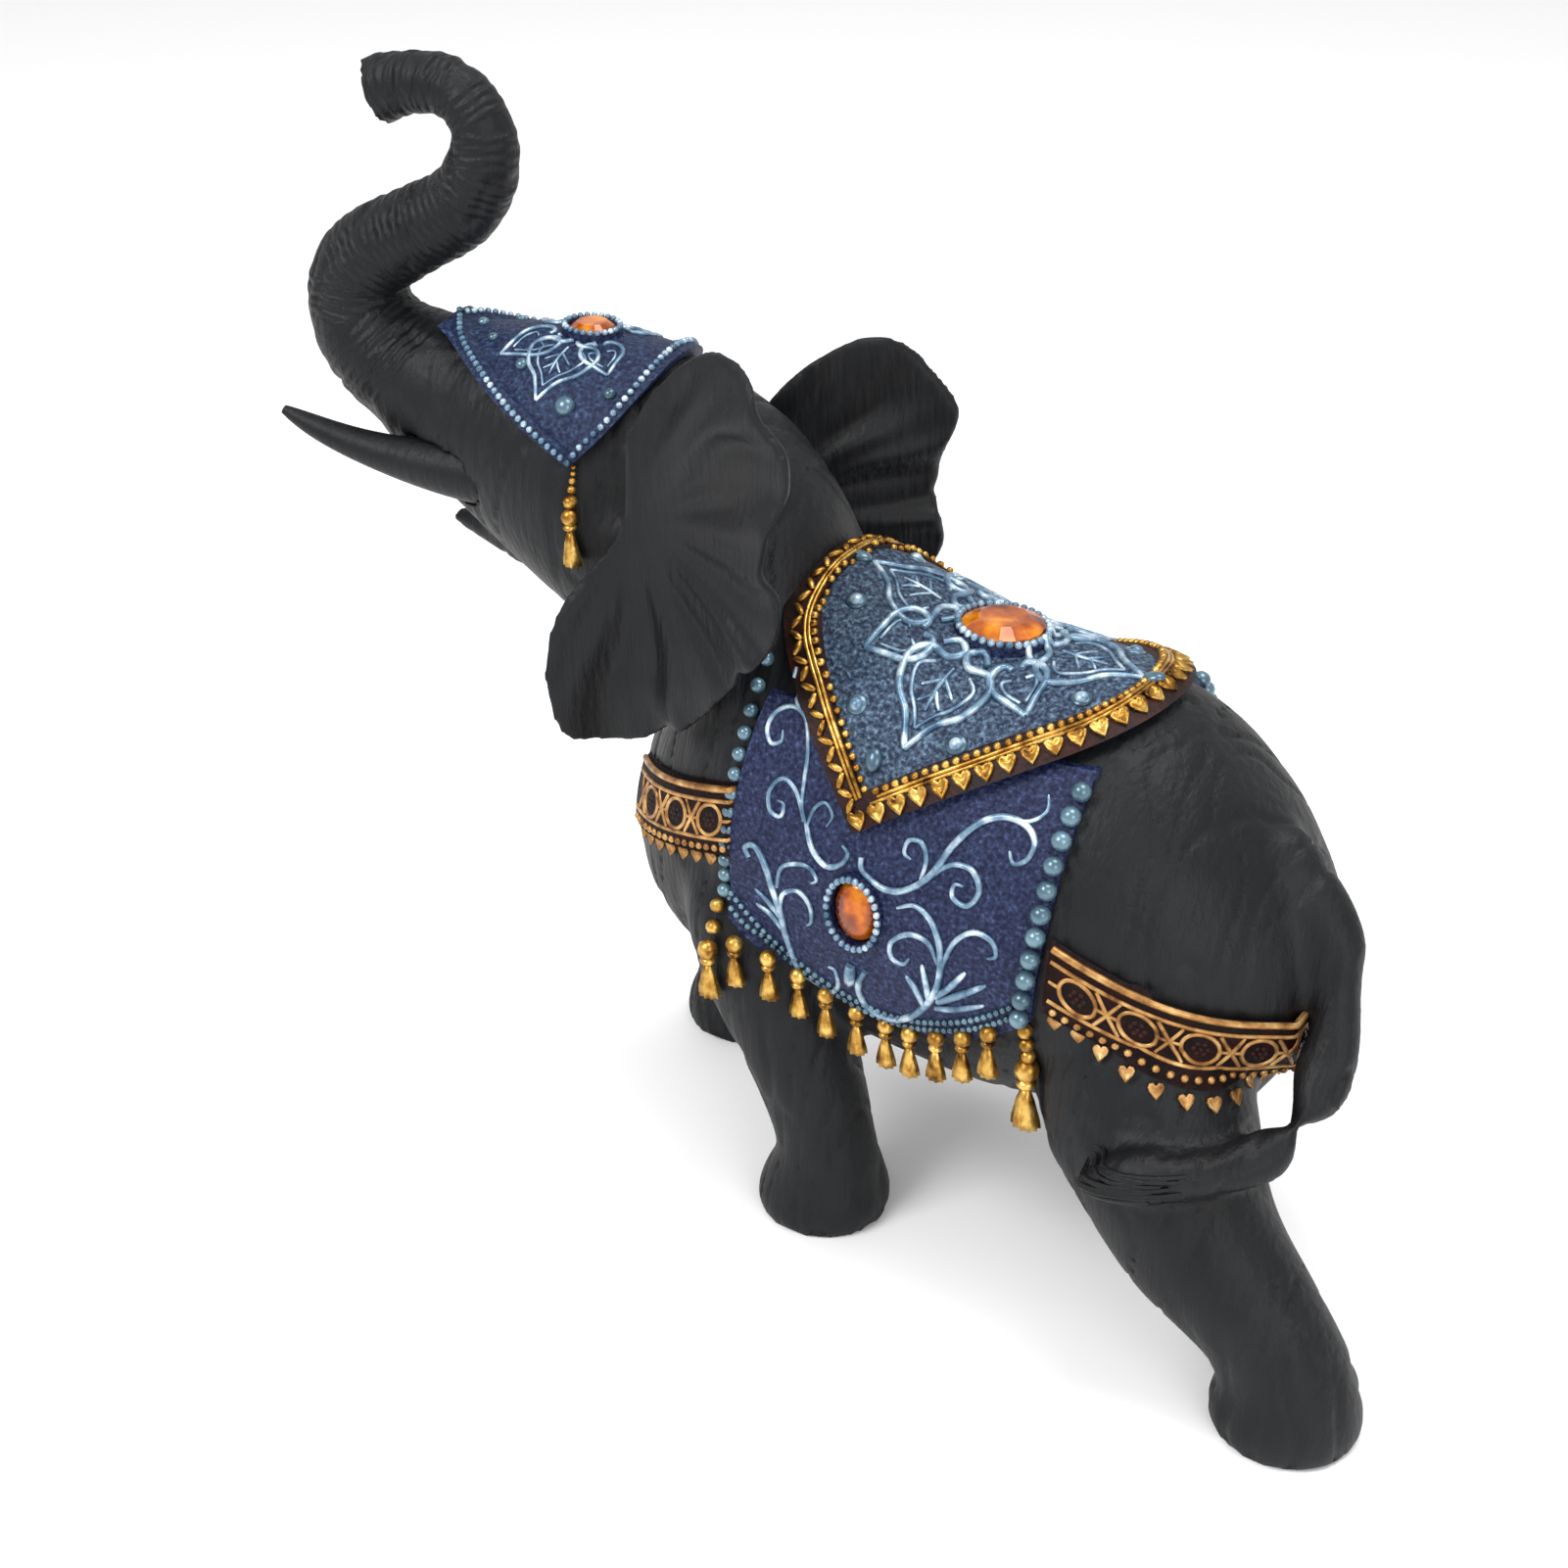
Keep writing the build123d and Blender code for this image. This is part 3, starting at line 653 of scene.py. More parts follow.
# %% [markdown]
# The tusks, the eyes, the cloth grounds and the settings keep their CAD shapes and only take a finish. The
# saddle's corners are blunter than on the real figure, and they stay as the CAD has them. The borders under
# the braids and the bands get the wine-dark wash that shows between their gold.
# %% Finishes for the CAD pieces
CAD_FINISHES = {
    "tusk_left": resin, "tusk_right": resin, "eye_left": gloss, "eye_right": gloss,
    "saddle_cloth": saddle_blue, "head_cloth": head_blue, "head_border": head_blue,
    "blanket_left": blanket_blue, "blanket_right": blanket_blue,
    "saddle_border": wash, "chest_band": wash, "rump_band": wash,
    "back_setting": blanket_blue, "left_side_setting": blanket_blue, "right_side_setting": blanket_blue,
    "head_setting": blanket_blue,
}
for node_name, finish in CAD_FINISHES.items():
    finishes = nodes[node_name].data.materials
    for index in range(len(finishes)):
        finishes[index] = finish
    if not finishes:
        finishes.append(finish)
print("CAD pieces finished", len(CAD_FINISHES))

# %% [markdown]
# The saddle diamond has a ring of leaves round its stone: four large pointed ones towards the corners and
# four small hearts between. Each is a double line of relief, the leaves with a sprig inside, drawn once and
# turned into place.
# %% Leaves of the saddle
STONE_X = 3.0


def turned(points, centre, heading, size):
    """Points of a motif drawn along x, turned to a heading about a centre."""
    c, s = math.cos(heading), math.sin(heading)
    return [(centre[0] + size * (x * c - y * s), centre[1] + size * (x * s + y * c)) for x, y in points]


LEAF_HALF = [(0.0, 0.30), (-0.12, 0.16), (-0.02, 0.02), (0.12, 0.14), (0.10, 0.38), (0.30, 0.52), (0.62, 0.40),
             (0.82, 0.18), (1.15, 0.0)]
LEAF_INNER = [(0.22, 0.22), (0.34, 0.36), (0.58, 0.27), (0.74, 0.12), (0.92, 0.0)]
SPRIG = [(0.2, 0.0), (0.45, 0.02), (0.72, 0.0)]
SPRIG_LEAVES = [[(0.34, 0.0), (0.42, 0.1), (0.5, 0.2)], [(0.5, 0.0), (0.58, 0.06), (0.66, 0.14)]]
HEART_HALF = [(0.12, 0.06), (0.02, 0.14), (0.06, 0.30), (0.24, 0.40), (0.46, 0.36), (0.70, 0.18), (0.95, 0.0)]
HEART_INNER = [(0.30, 0.10), (0.30, 0.24), (0.48, 0.22), (0.72, 0.04)]


def flipped(points):
    """The other half of a motif that is the same on both sides."""
    return [(x, -y) for x, y in points]


LEAF = [(LEAF_HALF, 1.0, 0.7, True), (LEAF_INNER, 0.5, 0.8, True), (SPRIG, 0.55, 0.5, False),
        (SPRIG_LEAVES[0], 0.45, 0.5, True), (SPRIG_LEAVES[1], 0.45, 0.5, True)]
SMALL_HEART = [(HEART_HALF, 1.0, 0.7, True), (HEART_INNER, 0.5, 0.8, True)]


def motif(parts, centre, heading, size, thick):
    """The strokes of a motif; each part is (points, share of thick, tip share, both halves or one)."""
    strokes = []
    for points, share, tip, both in parts:
        for half in (points, flipped(points)) if both else (points,):
            strokes.append((turned(half, centre, heading, size), thick * share, tip))
    return strokes


saddle_strokes = []
for side in (-1, 1):
    saddle_strokes += motif(LEAF, (STONE_X - 1.0, side * 9.5), side * math.radians(97), 17.5, 0.85)
    forward = math.pi - side * math.radians(42)
    saddle_strokes += motif(SMALL_HEART, (STONE_X - 9.5, side * 7.5), forward, 13, 0.8)
    saddle_strokes += motif(SMALL_HEART, (STONE_X + 8.5, side * 7.5), side * math.radians(52), 13, 0.8)
saddle_strokes += motif(LEAF, (STONE_X - 9.5, 0), math.pi, 16, 0.75)
saddle_strokes += motif(LEAF, (STONE_X + 10.5, 0), 0, 18, 0.75)
relief_piece("saddle_leaves", saddle_strokes, on_body, silver)

# %% [markdown]
# Light studs fill the corners of the diamond, round ones along its edges and an oval one near each corner.
# The diamond's own edges are scanned first from the CAD cloth, so that the braid follows it.
# %% Studs of the saddle
saddle_tree = node_tree("saddle_cloth")
SCAN_STEP = 0.5
SADDLE_SPAN = (-50.0, 62.0)
GIRTH_FROM = 30.0


def saddle_reach(around):
    """The foremost and hindmost places of the cloth at a distance round from the spine, or None."""
    outward = body_outward(around)
    found = []
    x = SADDLE_SPAN[0]
    while x < SADDLE_SPAN[1]:
        start = body_place(x, 0, BODY_AXIS) + outward * RAY
        if saddle_tree.ray_cast(start, -outward, RAY)[0] is not None:
            found.append(x)
        x += SCAN_STEP
    return (found[0], found[-1]) if found else None


half_girth = GIRTH_FROM
while saddle_reach(half_girth + SCAN_STEP):
    half_girth += SCAN_STEP
side_corner = (sum(saddle_reach(half_girth)) / 2, half_girth)
EDGE_SHARES = [0.0, 0.2, 0.4, 0.6, 0.8]
ends_at = [saddle_reach(share * half_girth) for share in EDGE_SHARES]
FRONT_EDGE_LINE = [(reach[0], share * half_girth) for reach, share in zip(ends_at, EDGE_SHARES)] + [side_corner]
REAR_EDGE_LINE = [(reach[1], share * half_girth) for reach, share in zip(ends_at, EDGE_SHARES)] + [side_corner]
print("saddle corner", side_corner)
ROUND_STUDS = [(-22.0, 9.0), (-12.5, 25.0), (9.0, 26.0), (27.0, 10.5)]
OVAL_STUDS = [(-28.0, 0.0, 0.0), (-5.5, 33.0, 1.4), (-5.5, -33.0, -1.4), (36.0, 0.0, 0.0)]
studs = bmesh.new()
stud_rings = bmesh.new()
for x, around in ROUND_STUDS:
    for side in (-1, 1):
        add_bead(studs, None, 1.45, 0.75, stance(on_body, x, side * around, 0, 0.2), 12)
        add_bead(stud_rings, None, 2.2, 0.3, stance(on_body, x, side * around, 0, 0.0), 12)
for x, around, heading in OVAL_STUDS:
    oval = stance(on_body, x, around, heading, 0.2) @ Matrix.Diagonal((1.45, 1.0, 1.0, 1.0))
    add_bead(stud_rings, None, 1.75, 0.7, oval, 12)
mesh_piece("saddle_round_studs", studs, silver)
mesh_piece("saddle_oval_studs", stud_rings, pearl)

# %% [markdown]
# A gold braid runs round the diamond: a row of tiny beads inside, a pair of thin rails, and outside them a
# row of hearts on the two rear edges and of crossed leaves on the two front edges.
# %% Braid of the saddle


def along_edge(line, inset, pitch):
    """Places at an even pitch along an edge line, inset mm towards the stone, each with the heading of the edge
    and the heading outward."""
    length = sum(math.dist(a, b) for a, b in zip(line, line[1:]))
    run = spaced(line, max(4, round(length / pitch) + 1))
    places = []
    for index, (x, around) in enumerate(run):
        before, after = run[max(0, index - 1)], run[min(len(run) - 1, index + 1)]
        heading = math.atan2(after[1] - before[1], after[0] - before[0])
        inward = (-math.sin(heading), math.cos(heading))
        if inward[0] * (STONE_X - x) - inward[1] * around < 0:
            inward = (-inward[0], -inward[1])
        outward_heading = math.atan2(-inward[1], -inward[0])
        places.append((x + inward[0] * inset, around + inward[1] * inset, heading, outward_heading))
    return places


def trimmed(line, inset):
    """An edge line without the ends that the neighbouring edge's own inset takes."""
    return [place for place in spaced(line, 40) if place[1] <= half_girth - inset * 0.75]


BEAD_ROW, BEAD_PITCH = 4.9, 2.05
RAIL_ROWS, RAIL_PITCH, RAIL_WIDE = (3.1, 3.9), 5.0, 0.42
LEAF_ROW, LEAF_PITCH = 1.5, 2.5
LEAF_LEAN = math.radians(42)
HEART_ROW, HEART_PITCH = 1.1, 4.3
BRAID_END = 1.0
BEAD_END = 5.0

braid_beads = bmesh.new()
braid_hearts = bmesh.new()
braid_leaves = bmesh.new()
rails = []
for sign in SIDES.values():
    for line in (FRONT_EDGE_LINE, REAR_EDGE_LINE):
        for x, around, _, _ in along_edge(trimmed(line, BEAD_END), BEAD_ROW, BEAD_PITCH):
            add_bead(braid_beads, None, 0.85, 0.9, stance(on_body, x, sign * around, 0, 0.25), 7)
        for inset in RAIL_ROWS:
            places = along_edge(trimmed(line, inset), inset, RAIL_PITCH)
            rails.append(([(x, sign * around) for x, around, _, _ in places], RAIL_WIDE, 1.0))
    leaf_places = along_edge(trimmed(FRONT_EDGE_LINE, BRAID_END), LEAF_ROW, LEAF_PITCH)
    for index, (x, around, heading, _) in enumerate(leaf_places):
        lean = LEAF_LEAN if index % 2 else -LEAF_LEAN
        blade = stance(on_body, x, sign * around, sign * heading + lean, 0.25)
        add_bead(braid_leaves, None, 1.0, 0.75, blade @ Matrix.Diagonal((1.9, 0.75, 1.0, 1.0)), 6)
    for x, around, _, outward_heading in along_edge(trimmed(REAR_EDGE_LINE, BRAID_END), HEART_ROW, HEART_PITCH):
        add_heart(braid_hearts, stance(on_body, x, sign * around, sign * outward_heading, 0.1), 1.95, 1.3)
mesh_piece("saddle_braid_beads", braid_beads, gold)
mesh_piece("saddle_braid_hearts", braid_hearts, gold)
mesh_piece("saddle_braid_leaves", braid_leaves, gold)
relief_piece("saddle_rails", rails, on_body, gold)

# %% [markdown]
# The blanket's flanks are covered with scrolls, like acanthus stems: each is one tapered stroke that ends in
# a curl. They are drawn as (x along the body, distance round from the spine) and mirrored for the
# other flank.
# %% Scrolls of the blanket
SCROLLS = [
    ([(-26, 23), (-25, 27), (-21.5, 30), (-19.5, 35), (-19, 40), (-18.5, 45), (-16.8, 49)], 0.55),
    ([(-21.5, 29.5), (-25, 28.3), (-28.5, 30), (-29.5, 33), (-28, 35.4), (-25.8, 34.6), (-26, 32.6)], 0.6),
    ([(-17.6, 48), (-20, 43), (-23.5, 41), (-26.2, 44), (-25.6, 48), (-23, 48.6), (-22.6, 46),
      (-24.2, 45.6)], 0.6),
    ([(-16.8, 49), (-15.8, 45), (-13.6, 43), (-11.6, 45), (-12.6, 47.6)], 0.5),
    ([(-17, 48), (-15, 53), (-11.4, 55.6), (-8, 54), (-7, 51.4), (-8.6, 50.2)], 0.75),
    ([(-30, 60.4), (-31, 58.4), (-28.6, 57.2), (-26, 60.5), (-24, 66), (-22.2, 72), (-21, 80), (-18.6, 88.6),
      (-14, 90), (-10, 86), (-9.6, 81), (-11.4, 80.6)], 0.85),
    ([(-22.3, 72), (-21.6, 66.4), (-18, 63.8), (-15, 66), (-14.6, 70), (-16, 71.8)], 0.65),
    ([(-23, 65), (-22, 60), (-19, 57.8), (-15.4, 57.2), (-13.4, 59.4), (-14.8, 60.8)], 0.6),
    ([(-22.3, 73), (-25, 70), (-28.6, 68)], 0.7),
    ([(-22.0, 76), (-25, 73), (-28.6, 72)], 0.7),
    ([(-4, 51.2), (-3.2, 54), (1.8, 56), (6.5, 54.6), (11.2, 50), (14.2, 43.4), (18, 38), (22.4, 35.4),
      (27, 35.6), (29.6, 38), (29.2, 41.4), (26.8, 43), (25.4, 41)], 0.85),
    ([(24, 35.6), (27.8, 34.6), (30, 32), (29.2, 29.2)], 0.5),
    ([(9.2, 51.6), (9.6, 47.4), (7.8, 44.6), (5.2, 45), (4.8, 47.6), (6.4, 48.4)], 0.6),
    ([(10.6, 51), (14.6, 47), (19, 46.6), (21.4, 50), (19.6, 53.6), (16.4, 53), (16.2, 50.4), (18, 50.2)], 0.7),
    ([(-2, 77), (-4.4, 82.4), (-2.6, 87.4), (3.6, 87.4), (9.8, 82), (14.4, 74), (15.2, 65.6), (13, 59.6),
      (9, 57.2), (5, 59)], 0.9),
    ([(14.8, 68), (12.4, 64), (8.2, 63.6), (4.4, 66.8), (4.4, 70.4), (7, 71), (8.4, 69)], 0.7),
    ([(15.2, 69.6), (17.8, 62), (21.6, 58.4), (25.4, 59), (26.6, 61.8), (24.8, 63)], 0.7),
    ([(12.6, 78), (12.2, 73.4), (11.2, 69.4)], 0.8),
    ([(11.4, 79.6), (9.6, 75.6), (7.6, 73.6)], 0.8),
    ([(14.2, 76), (17.6, 72), (20.6, 67.6)], 0.9),
    ([(14.6, 77), (19.4, 73.4), (25, 69)], 0.95),
    ([(14, 79), (19, 77), (24.6, 74)], 0.8),
    ([(-5.4, 77), (-6.4, 83)], 1.5),
]
SCROLL_SHARE = 0.88
SCROLL_TIP = 0.35
scroll_strokes = [(points, widest * SCROLL_SHARE, SCROLL_TIP) for points, widest in SCROLLS]
for side_name, sign in SIDES.items():
    relief_piece(f"blanket_scrolls_{side_name}", scroll_strokes, on_body, silver, sign)

# %% [markdown]
# Pearls stand down the front and rear edges of the blanket, and a double row of seed beads runs round its
# hem. From the hem hang gold tassels, and from each end of it a string of gold beads with a larger tassel.
# %% Pearls, seed beads and tassels of the blanket
FRONT_EDGE = [(-34.2, 22), (-34.4, 27), (-34.8, 35), (-35.6, 46), (-36.4, 60), (-37, 73)]
REAR_EDGE = [(34.8, 27), (34.6, 32), (34.4, 38), (34.2, 47), (33.8, 57), (32.8, 66), (32, 74)]
HEM = [(-36.5, 76), (-30, 81.5), (-22, 86), (-12, 89.5), (-1, 90.5), (10, 88), (22, 82.5), (31, 76)]


def inset_line(points, inset):
    """The hem's line moved up from its edge."""
    return [(x * (1 - inset / 90), around - inset) for x, around in points]


SKIRT_STATIONS = [(0.0, 0.30), (0.35, 0.62), (0.8, 0.95), (1.0, 1.0)]
FLUTE = 0.72
SWAY = 0.05


def add_tassel(shape, top, length, width, strands=8):
    """A tassel that hangs down: bead, collar and a fluted skirt with a slight sway."""
    add_bead(shape, top, width * 0.42, 1.0, None, 8)
    add_bead(shape, top - Vector((0, 0, width * 0.5 * MM)), width * 0.34, 0.6, None, 8)
    skirt_top = top - Vector((0, 0, width * 0.6 * MM))
    rings = []
    for share, wide in SKIRT_STATIONS:
        ring = []
        for index in range(strands * 2):
            angle = math.pi * index / strands
            flute = 1.0 if index % 2 else FLUTE
            radius = width * 0.5 * wide * (flute if share > 0 else 0.8)
            sway = SWAY * length * share**2
            spot = Vector((math.cos(angle) * radius + sway, math.sin(angle) * radius * 0.75, -length * share))
            ring.append(shape.verts.new(skirt_top + spot * MM))
        rings.append(ring)
    for upper, lower in zip(rings, rings[1:]):
        for index in range(len(upper)):
            beside = (index + 1) % len(upper)
            shape.faces.new((upper[index], upper[beside], lower[beside], lower[index]))
    shape.faces.new(rings[0])
    shape.faces.new(rings[-1])


def hung_clear(top, sign, length, stand_off):
    """A tassel's top moved straight out until the tassel clears the skin all the way down."""
    outward = Vector((0, -sign, 0))
    clear = top.copy()
    for share in (0.5, 1.0):
        below = Vector((top.x, spine_y, top.z - length * share * MM))
        rest, _ = settle(below, outward, 0)
        if sign * (rest.y - clear.y) < stand_off * MM:
            clear.y = rest.y - sign * stand_off * MM
    return clear


HEM_TASSELS = 12
CORNER_STEP = 3.6
CORNER_STRINGS = (((-38.0, 76.5), 2, 5.2), ((32.6, 78.0), 3, 6.2))
for side_name, sign in SIDES.items():
    pearls = bmesh.new()
    for x, around in spaced(FRONT_EDGE, 13):
        add_bead(pearls, None, 1.55, 0.95, stance(on_body, x, sign * around, 0, 0.7), 12)
    for x, around in spaced(REAR_EDGE, 11):
        add_bead(pearls, None, 2.0, 0.95, stance(on_body, x, sign * around, 0, 0.9), 12)
    mesh_piece(f"blanket_pearls_{side_name}", pearls, pearl, [f"pearls_{side_name}"])
    seeds = bmesh.new()
    for inset, count in ((1.4, 46), (3.4, 44)):
        for x, around in spaced(inset_line(HEM, inset), count):
            add_bead(seeds, None, 0.72, 0.9, stance(on_body, x, sign * around, 0, 0.25), 7)
    mesh_piece(f"hem_seed_beads_{side_name}", seeds, pearl)
    tassels = bmesh.new()
    for x, around in spaced(HEM, HEM_TASSELS)[1:-1]:
        top, _ = on_body(x, sign * around, 1.0)
        add_tassel(tassels, hung_clear(top, sign, 9.0, 1.3), 6.8, 4.4)
    mesh_piece(f"hem_tassels_{side_name}", tassels, gold, [f"tassels_{side_name}"])
    corners = bmesh.new()
    for (x, low), beads, wide in CORNER_STRINGS:
        for _ in range(beads):
            add_bead(corners, None, 1.6, 0.95, stance(on_body, x, sign * low, 0, 1.0), 10)
            low += CORNER_STEP
        top, _ = on_body(x, sign * low, 1.6)
        add_tassel(corners, hung_clear(top, sign, wide * 1.8, 2.0), wide * 1.5, wide, 10)
    mesh_piece(f"corner_tassels_{side_name}", corners, gold)

# %% [markdown]
# The head carries a smaller diamond with its own hearts, studs and a silver beaded edge. From each side
# corner hangs a short gold chain with a tassel in front of the ear.
# %% Ornament of the head
HEAD_SIDE = (-81.0, 33.0)
HEAD_STONE_X = -87.7
head_strokes = []
for side in (-1, 1):
    head_strokes += motif(LEAF, (HEAD_STONE_X - 1, side * 5.2), side * math.radians(98), 14.5, 0.52)
    forward = math.pi - side * math.radians(38)
    head_strokes += motif(SMALL_HEART, (HEAD_STONE_X - 5.5, side * 4.0), forward, 13, 0.48)
    head_strokes += motif(SMALL_HEART, (HEAD_STONE_X + 4.0, side * 5.0), side * math.radians(58), 10.5, 0.48)
relief_piece("head_leaves", head_strokes, on_head, silver)

hat_tree = node_tree("head_cloth")
HAT_SPAN = (-130.0, -60.0)
HAT_SIDE = HEAD_SIDE[1] - 1.0


def hat_reach(around):
    """The foremost and hindmost places of the head cloth at a distance round the head."""
    found = []
    x = HAT_SPAN[0]
    while x < HAT_SPAN[1]:
        axis, outward = head_ray(x, around)
        if hat_tree.ray_cast(axis + outward * RAY, -outward, RAY)[0] is not None:
            found.append(x)
        x += SCAN_STEP
    return (found[0], found[-1]) if found else (HEAD_SIDE[0], HEAD_SIDE[0])


head_beads = bmesh.new()
HAT_SHARES = [0.0, 0.25, 0.5, 0.75, 0.93]
HAT_INSET = 1.0
ends_at = [hat_reach(share * HAT_SIDE) for share in HAT_SHARES]
front_run = [(reach[0] + HAT_INSET, share * HAT_SIDE) for reach, share in zip(ends_at, HAT_SHARES)]
rear_run = [(reach[1] - HAT_INSET, share * HAT_SIDE) for reach, share in zip(ends_at, HAT_SHARES)]
for sign in SIDES.values():
    for run, count in ((front_run + [HEAD_SIDE], 30), (rear_run + [HEAD_SIDE], 20)):
        for x, around in spaced(run, count):
            add_bead(head_beads, None, 0.72, 0.95, stance(on_head, x, sign * around, 0, 0.25), 7)
mesh_piece("head_edge_beads", head_beads, silver)

HEAD_STUDS = [(-107, 6.5, 1.1), (-97, 14, 1.35), (-84.5, 22, 2.1), (-76.5, 17.5, 1.3), (-112.5, 0, 1.2)]
head_studs = bmesh.new()
for x, around, radius in HEAD_STUDS:
    for side in (-1, 1) if around else (1,):
        add_bead(head_studs, None, radius, 0.75, stance(on_head, x, side * around, 0, 0.15), 12)
mesh_piece("head_studs", head_studs, pearl)

CHAIN_X = HEAD_SIDE[0] + 0.4
CHAIN_BEADS = ((0.55, 1.3), (0.6, 1.5), (0.75, 1.8), (0.9, 2.4), (1.5, 3.0))
for side_name, sign in SIDES.items():
    chain = bmesh.new()
    low = HEAD_SIDE[1] + 1.0
    for radius, step in CHAIN_BEADS:
        add_bead(chain, None, radius, 1.0, stance(on_head, CHAIN_X, sign * low, 0, radius * 0.6), 8)
        low += step
    top, _ = on_head(CHAIN_X, sign * low, 1.3)
    add_tassel(chain, top, 7.6, 4.2)
    mesh_piece(f"head_chain_{side_name}", chain, gold, [f"head_tassel_{side_name}"])

# %% [markdown]
# The tail ends in a tuft that lies forward on the thigh. Its hair is a bundle of tapered strokes on the cast
# end.
# %% Hair of the tail
TUFT_ROOT = 66.0
TUFT_TIP = 50.0
TUFT_HEIGHT = 53.0
STRANDS = 18


def on_flank(x, z, lift=0.0):
    """A place on the left flank, seen square from the side."""
    return settle(body_place(x, 0, z), Vector((0, -1, 0)), lift)


hair = []
rng = random.Random(5)
for strand in range(STRANDS):
    lane = (strand / (STRANDS - 1) - 0.5) * 2
    first = TUFT_HEIGHT + 3.4 * lane + 1.0
    last = TUFT_HEIGHT - 1.6 + 4.6 * lane + rng.uniform(-0.6, 0.6)
    start = TUFT_ROOT + rng.uniform(-3.0, 4.0)
    stop = TUFT_TIP + abs(lane) * 3.0 + rng.uniform(-1.5, 1.5)
    points = [(start, first), ((start + stop) / 2, (first + last) / 2 + rng.uniform(-0.5, 0.5)), (stop, last)]
    hair.append((points, 0.55, 0.2))
relief_piece("tail_hair", hair, on_flank, resin)

# %% [markdown]
# The chest and rump bands are cast filigree: a double top rail over a dark groove, ring roundels with a dark
# flower between crossed leaves, a lower rail, a row of beads and a fringe of little hearts. Places on them go
# round an upright axis, and the height follows the band's sloping edge.
# %% The bands' chart
BAND_DEPTH = 15.0
BAND_LIFT = 0.35
BAND_RADIUS = 38.0
BANDS = {
    "rump": {"axis": 36.0, "near": (36.0, 92.5), "slope": -0.40, "from": 2.0, "to": 92.0},
    "chest": {"axis": -34.0, "near": (-35.5, 100.5), "slope": -0.31, "from": 2.0, "to": 60.0},
}


def band_place(name, sign):
    """A chart of one band on one flank: u is degrees round, v is mm down from its top edge."""
    facts = BANDS[name]
    back = 1 if name == "rump" else -1

    def place(u, v, lift=0.0):
        angle = math.radians(u)
        outward = Vector((back * math.sin(angle), -sign * math.cos(angle), 0))
        x = facts["near"][0]
        for _ in range(5):
            z = facts["near"][1] + facts["slope"] * abs(x - facts["near"][0]) - v
            start = body_place(facts["axis"], 0, z) + outward * RAY
            hit, normal, _, _ = banded_tree.ray_cast(start, -outward)
            x = (hit.x - torso_low[0]) / MM + CHEST_X
        if normal.dot(outward) < 0:
            normal = -normal
        return hit + normal * (lift + BAND_LIFT) * MM, normal

    return place


def circle(u, v, wide, tall, points=12):
    """A closed ring in the chart."""
    turns = [2 * math.pi * index / points for index in range(points + 1)]
    return [(u + wide * math.cos(turn), v + tall * math.sin(turn)) for turn in turns]


def degrees_round(length):
    """How many degrees go round for a length in mm."""
    return math.degrees(length / BAND_RADIUS)


print("band charts ready")

# %% [markdown]
# The dark ground of a band is a strip laid on the chart, then given a thickness. It overruns the ornament at
# both ends, and the left one stands for the whole CAD band.
# %% Ground of the bands
GROUND_COLUMNS, GROUND_ROWS = 60, 8
GROUND_OVERRUN = 1.5


def band_ground(name, side_name, place, start, stop):
    """The dark strip of one band on one flank."""
    ground = bmesh.new()
    columns = []
    for column in range(GROUND_COLUMNS + 1):
        u = start - GROUND_OVERRUN + (stop - start + 2 * GROUND_OVERRUN) * column / GROUND_COLUMNS
        columns.append([ground.verts.new(place(u, -0.4 + BAND_DEPTH * row / GROUND_ROWS, 0.25)[0])
                        for row in range(GROUND_ROWS + 1)])
    for left, right in zip(columns, columns[1:]):
        for row in range(GROUND_ROWS):
            ground.faces.new((left[row], left[row + 1], right[row + 1], right[row]))
    bmesh.ops.solidify(ground, geom=ground.faces[:], thickness=1.0 * MM)
    replaced = [f"{name}_band"] if side_name == "left" else []
    mesh_piece(f"{name}_ground_{side_name}", ground, wash, replaced)


# %% [markdown]
# On the ground lie the rails, a ring for each roundel, and between the roundels crossed blades and short
# bars. A small dark flower of seven beads sits in each ring, and beads and little hearts hang below.
# %% Ornament of the bands
ROUNDEL_PITCH = degrees_round(11.0)
ROUNDEL_HALF = degrees_round(3.0)
ROUNDEL_LOW = 7.1
DROP_PITCH = degrees_round(2.35)
RAIL_STEPS = 14
BAND_RAILS = ((0.5, 0.75), (3.0, 0.5), (11.2, 0.5))


def band_strokes(start, stop, count):
    """The rails and the lattice of one band."""
    strokes = []
    for down, thick in BAND_RAILS:
        rail = [(start + (stop - start) * step / RAIL_STEPS, down) for step in range(RAIL_STEPS + 1)]
        strokes.append((rail, thick, 1.0))
    for index in range(count):
        u = start + ROUNDEL_PITCH * (index + 0.5)
        after, before = u + ROUNDEL_PITCH / 2, u - ROUNDEL_PITCH / 2
        strokes.append((circle(u, ROUNDEL_LOW, ROUNDEL_HALF * 1.15, 3.3), 0.5, 1.0))
        for lean in (-1, 1):
            reach, drop = ROUNDEL_HALF * 0.75, lean * 3.6
            near_end, far_end = (after - reach, ROUNDEL_LOW - drop), (after + reach, ROUNDEL_LOW + drop)
            blade = [near_end, (after, ROUNDEL_LOW), far_end]
            bar = [(u + lean * ROUNDEL_HALF * 1.1, ROUNDEL_LOW), (after if lean > 0 else before, ROUNDEL_LOW)]
            strokes += [(blade, 0.5, 0.7), (bar, 0.42, 0.8)]
    return strokes


